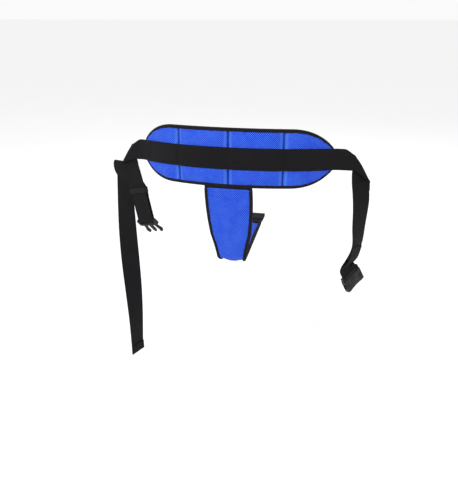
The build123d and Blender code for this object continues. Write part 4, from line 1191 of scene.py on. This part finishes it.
MALE = (MALE_BAR, MALE_X, MALE_Y, MALE_Z)
yoke = [(-31, -5), (-26.2, -5), (-26.2, 6.6), (26.2, 6.6), (26.2, -5), (31, -5), (31, 13.0), (27, 16), (-27, 16), (-31, 13)]
parts = [
    plate([rounded(yoke, [2.2, 1.2, 2, 2, 1.2, 2.2, 3, 3, 3, 3])], -4.0, 4.0, 1.0, MALE),
    rod((-28, 0, 0), (28, 0, 0), 2.0, MALE),
    plate([rounded([(-4.5, 14), (4.5, 14), (4.5, 38), (2.6, 45), (-2.6, 45), (-4.5, 38)], [1, 1, 3, 1.6, 1.6, 3])], -2.5, 2.5, 0.7, MALE),
    plate([rectangle(-24, 24, 8.6, 10.0, 0.6)], 3.6, 4.5, 0.3, MALE),
    plate([rectangle(-24, 24, 11.6, 13.0, 0.6)], 3.6, 4.5, 0.3, MALE),
    plate([rectangle(-24, 24, 8.6, 10.0, 0.6)], -4.5, -3.6, 0.3, MALE),
    plate([rectangle(-24, 24, 11.6, 13.0, 0.6)], -4.5, -3.6, 0.3, MALE),
]
male = moulding("male_buckle_frame", parts, mirrored=True)
finish_piece(male, "buckle_black", PLASTIC, ["male_buckle"], ["male_buckle"])
for word, sign in (("left", 1), ("right", -1)):
    arm = [(15.4, 15), (20.6, 15), (21.4, 23), (24.5, 32), (26.4, 33), (25.6, 39), (23.5, 45), (19.5, 47), (17.5, 44), (18.2, 34), (16.2, 25)]
    arm = [(sign * x, y) for x, y in arm]
    arm = arm if sign > 0 else arm[::-1]
    radii = [1.5, 1.5, 12, 2.0, 1.2, 10, 4, 2.2, 2.0, 12, 12]
    radii = radii if sign > 0 else radii[::-1]
    parts = [
        plate([rounded(arm, radii)], -3.3, 3.3, 0.8, MALE),
        rod((sign * 18, 16, -3.2), (sign * 18, 16, 3.2), 3.0, MALE),
    ]
    for k in range(3):
        x, y = sign * (22.6 + 0.1 * k), 34.6 + 3.2 * k
        parts.append(plate([rectangle(x - 2.0, x + 2.0, y, y + 1.1, 0.5)], -3.7, 3.7, 0.3, MALE))
    prong = moulding(f"male_prong_{word}", parts, mirrored=True)
    finish_piece(prong, "buckle_black", PLASTIC, [f"prong_{word}"], [f"prong_{word}"])


# ---------------------------------------------------------------- crotch pad
LEAN = radians(CROTCH_LEAN)
CROTCH_CORNER_Y = -PAD_T / 2 + (CROTCH_TOP_Z - CROTCH_BOTTOM_Z) * tan(LEAN)
BEND_TANGENT = CROTCH_BEND_R * tan((pi / 2 - LEAN) / 2)
STRAIGHT = (CROTCH_TOP_Z - CROTCH_BOTTOM_Z) / cos(LEAN) - BEND_TANGENT
BEND_LEN = CROTCH_BEND_R * (pi / 2 - LEAN)
CROTCH_LEN = STRAIGHT + BEND_LEN + CROTCH_REAR_Y - (CROTCH_CORNER_Y + BEND_TANGENT)


def crotch_point(run, x, depth):
    """A point of the crotch pad by run from its top, sideways place and depth outwards."""
    run, x, depth = np.broadcast_arrays(np.asarray(run, float), x, depth)
    bend = np.clip((run - STRAIGHT) / CROTCH_BEND_R, 0, pi / 2 - LEAN)
    down = np.minimum(run, STRAIGHT)
    level = np.maximum(run - STRAIGHT - BEND_LEN, 0)
    centre_y = CROTCH_CORNER_Y + BEND_TANGENT
    centre_z_ = CROTCH_BOTTOM_Z + CROTCH_BEND_R
    out_y, out_z = -np.cos(LEAN + bend), -np.sin(LEAN + bend)
    straight_y = centre_y + CROTCH_BEND_R * out_y + (down - STRAIGHT) * sin(LEAN) + level
    straight_z = centre_z_ + CROTCH_BEND_R * out_z - (down - STRAIGHT) * cos(LEAN)
    return np.stack([x, straight_y + depth * out_y, straight_z + depth * out_z], -1)


def arc_x(z, a, b, c):
    """X at height z on the arc through three (x, z) points."""
    (x1, z1), (x2, z2), (x3, z3) = a, b, c
    d = 2 * (x1 * (z2 - z3) + x2 * (z3 - z1) + x3 * (z1 - z2))
    s1, s2, s3 = x1**2 + z1**2, x2**2 + z2**2, x3**2 + z3**2
    cx = (s1 * (z2 - z3) + s2 * (z3 - z1) + s3 * (z1 - z2)) / d
    cz = (s1 * (x3 - x2) + s2 * (x1 - x3) + s3 * (x2 - x1)) / d
    r = sqrt((x1 - cx) ** 2 + (z1 - cz) ** 2)
    return cx + np.sign(x2 - cx) * np.sqrt(np.clip(r * r - (z - cz) ** 2, 0, None))


def crotch_half_w(run):
    run = np.asarray(run, float)
    z = CROTCH_TOP_Z - np.minimum(run, STRAIGHT) * cos(LEAN)
    upper = arc_x(z, (56, -70), (55.2, -135), (49, -195))
    lower = arc_x(z, (49, -195), (37.2, -250), (33, -286))
    front = np.where(z > -195, upper, lower)
    into = smooth_step((run - STRAIGHT) / BEND_LEN)
    strip_x = np.interp(run, [STRAIGHT + BEND_LEN, STRAIGHT + BEND_LEN + 14, CROTCH_LEN], [33, 33, 25])
    return front * (1 - into) + strip_x * into


CROTCH_TOP_RUN = 1.2
rows, cols = 33, 150
runs = np.linspace(CROTCH_TOP_RUN, CROTCH_LEN - 1.2, cols)
fractions = np.linspace(-1, 1, rows)
run_grid, fraction = np.meshgrid(runs, fractions, indexing="ij")
half = crotch_half_w(run_grid) - 1.2
top_round = np.clip(1 - (run_grid - CROTCH_TOP_RUN) / 9, 0, 1)
half = half - 9 * (1 - np.sqrt(np.clip(1 - top_round**2, 0, 1)))
x = fraction * half
edge = np.minimum.reduce([(1 - np.abs(fraction)) * half, run_grid - CROTCH_TOP_RUN + 3.0, CROTCH_LEN - 1.2 - run_grid])
BEND_JOINT = crotch_point(STRAIGHT + BEND_LEN / 2, 0.0, 0.0)
bend_along = np.array([0, cos((pi / 2 - LEAN) / 2), -sin((pi / 2 - LEAN) / 2)])
bend_line = joint_line(BEND_JOINT, bend_along, 10, 10)
for face, word in ((1, "outer"), (-1, "inner")):
    rim = edge < BINDING_W - 1.5
    values = np.where(rim, 2.9, CROTCH_T / 2)
    values = np.where(run_grid < CROTCH_TOP_RUN + 3.5, 1.7, values)
    height = relax_height(x.shape, rim, values, 0.024 if face > 0 else 0.016, passes=900)
    height = height * (1 - 0.6 * np.exp(-(((run_grid - STRAIGHT - BEND_LEN / 2) / 15) ** 2)) * ~rim)
    height = np.where(edge < 1e-6, 1.2, height)
    points = crotch_point(run_grid, x, face * height)
    faces = []
    for i in range(cols - 1):
        for k in range(rows - 1):
            quad = (i * rows + k, i * rows + k + 1, (i + 1) * rows + k + 1, (i + 1) * rows + k)
            faces.append(quad if face > 0 else quad[::-1])
    uvs = np.stack([x, run_grid], -1)
    skin = make_mesh(f"crotch_pad_{word}", points.reshape(-1, 3), faces, uvs.reshape(-1, 2))
    inflate(skin, rim.ravel(), 0.012, 1.5 if face > 0 else 1.0, 3.0)
    subdivide(skin)
    nodes = ["crotch_cover_front", "crotch_cover_rear", "crotch_foam_front"] if face > 0 else ["crotch_lining_front", "crotch_lining_rear", "crotch_foam_rear"]
    finish_piece(skin, "mesh_blue", BLUE, ["crotch_front", "crotch_rear"], nodes, bend_line)

edge_runs = np.concatenate([np.linspace(3.5, STRAIGHT - 4, 70), np.linspace(STRAIGHT, STRAIGHT + BEND_LEN, 24), np.linspace(STRAIGHT + BEND_LEN + 4, CROTCH_LEN - 4, 70)])
side_path = np.stack([crotch_half_w(np.clip(edge_runs, 0, None)), edge_runs], -1)
end_path = np.array([(25.0 - 1.2, CROTCH_LEN - 1.2), (22.0, CROTCH_LEN)])
cross_path = np.stack([np.linspace(18, -18, 12), np.full(12, CROTCH_LEN)], -1)
whole = np.concatenate([side_path, end_path, cross_path, (end_path * [-1, 1])[::-1], (side_path * [-1, 1])[::-1]])


def on_crotch(x, run, depth):
    return crotch_point(run, x, depth)


crotch_tape = sweep_binding("crotch_binding_tape", whole, on_crotch, ripple=0.22, shrink=0.95)
finish_piece(crotch_tape, "binding_black", BINDING, ["crotch_front", "crotch_rear"], ["crotch_binding_front", "crotch_binding_rear"], bend_line)
length, inward = path_frames(whole)
line = whole + inward * (BINDING_W - 1.9)
for face, word in ((1, "outer"), (-1, "inner")):
    low = on_crotch(line[:, 0], line[:, 1], face * 4.75)
    high = on_crotch(line[:, 0], line[:, 1], face * 5.75)
    stitch_row(f"crotch_stitches_{word}", low, high - low, THREAD, "thread_black", ["crotch_front", "crotch_rear"], bend_line)

tab_section = webbing_section(112, 2.2)
tab_runs = np.linspace(-9, 5, 12)
a = tab_runs[:, None] + 0 * tab_section[None, :, 0]
b = tab_section[None, :, 0] + 0 * a
t = tab_section[None, :, 1] + 0 * a
tab = ring_mesh("crotch_top_tape", crotch_point(a, b, t), np.stack([b, a], -1))
finish_piece(tab, "binding_black", BINDING, ["lap_pad", "crotch_front"], ["crotch_tab"], ((0, -0.007, -0.066), (0, -0.006, -0.0725)))


# ---------------------------------------------------------------- rear loop
LOOP_START = CROTCH_REAR_Y - 16
LOOP_NECK_END = CROTCH_REAR_Y + 2 + LOOP_NECK
loop_mid = LOOP_NECK_END + LOOP_INSIDE / 2
reach = LOOP_H / 2 + WEBBING_T / 2
flat_half = LOOP_INSIDE / 2 - LOOP_H / 2
LOOP_X = np.array([1.0, 0, 0])
loop_points = [(CROTCH_REAR_Y - 16, -5.0), (CROTCH_REAR_Y - 6, -5.1), (CROTCH_REAR_Y + 2, -3.4), (CROTCH_REAR_Y + 8, -1.3), (LOOP_NECK_END - 3, -1.0),
               (LOOP_NECK_END + 3, -2.9), (loop_mid - flat_half + 3, -reach), (loop_mid, -reach), (loop_mid + flat_half - 2, -reach)]
for t in np.radians([-60, -30, 0, 30, 60]):
    loop_points.append((loop_mid + flat_half + reach * cos(t), reach * sin(t)))
loop_points += [(loop_mid + flat_half - 2, reach), (loop_mid, reach), (loop_mid - flat_half + 3, reach), (LOOP_NECK_END + 3, 2.9),
                (LOOP_NECK_END - 3, 1.0), (CROTCH_REAR_Y + 8, 1.3), (CROTCH_REAR_Y + 2, 3.4), (CROTCH_REAR_Y - 6, 5.1), (CROTCH_REAR_Y - 16, 5.0)]
LOOP = Frames([np.array([0, y, CROTCH_BOTTOM_Z + z]) for y, z in loop_points], [LOOP_X] * len(loop_points), -UP, spacing=0.8)
loop = strip("crotch_loop_webbing", LOOP.place, 0, LOOP.length[-1], spacing=1.6, width=WEBBING_W - 4)
finish_piece(loop, "webbing_black", WEBBING, ["crotch_rear", "crotch_loop"], ["crotch_loop"],
             ((0, (CROTCH_REAR_Y - 3) * MM, CROTCH_BOTTOM_Z * MM), (0, (CROTCH_REAR_Y + 5) * MM, CROTCH_BOTTOM_Z * MM)))
neck = along_near(LOOP, np.array([0, CROTCH_REAR_Y + 8.5, CROTCH_BOTTOM_Z + 1.3]))
box_stitch("loop_stitches", LOOP, neck - 4.5, neck + 4.0, 19, 1, ["crotch_loop"])
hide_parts("loop_stitching")
box_stitch("loop_end_stitches", LOOP, LOOP.length[-1] - 13, LOOP.length[-1] - 3, 19, 1, ["crotch_rear"])


# ---------------------------------------------------------------- studio
low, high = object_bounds()
centre = (low + high) / 2
floor_z = low.z - 0.02
edge = 150000
floor = make_mesh("floor", [(x, y, floor_z / MM) for x, y in ((-edge, -edge), (edge, -edge), (edge, edge), (-edge, edge))], [(0, 1, 2, 3)])
paper = Nodes("pale_floor")
grain = paper.noise(3.0)
floor.data.materials.append(paper.surface(paper.ramp(grain, [(0.2, (0.93, 0.93, 0.935)), (0.8, (0.95, 0.95, 0.955))]), 0.9, specular=0.0))


def area_light(name, location, target, size, power):
    light = bpy.data.lights.new(name, "AREA")
    light.shape = "DISK"
    light.size = size
    light.energy = power
    obj = bpy.data.objects.new(name, light)
    bpy.context.scene.collection.objects.link(obj)
    obj.location = location
    obj.rotation_euler = (Vector(target) - Vector(location)).to_track_quat("-Z", "Y").to_euler()


area_light("key", (-1.0, -1.7, 2.1), centre, 0.9, 36)
area_light("fill", (2.4, -1.8, 1.0), centre, 2.2, 6)
area_light("rim", (0.4, 2.4, 1.9), centre, 1.8, 14)
world = bpy.data.worlds.new("studio")
bpy.context.scene.world = world
world.use_nodes = True
world.node_tree.nodes["Background"].inputs[0].default_value = (1, 1, 1, 1)
world.node_tree.nodes["Background"].inputs[1].default_value = 0.96
bpy.context.scene.view_settings.view_transform = "Standard"

camera = bpy.data.cameras.new("camera")
camera.lens = 40.46
camera.sensor_width = 36
camera.clip_end = 400
view = bpy.data.objects.new("camera", camera)
bpy.context.scene.collection.objects.link(view)
bpy.context.scene.camera = view
YAW, PITCH = radians(12.877), radians(22.62)
view.location = (0.2780, -1.2149, 0.2932)
view.rotation_euler = (pi / 2 - PITCH, 0, YAW)
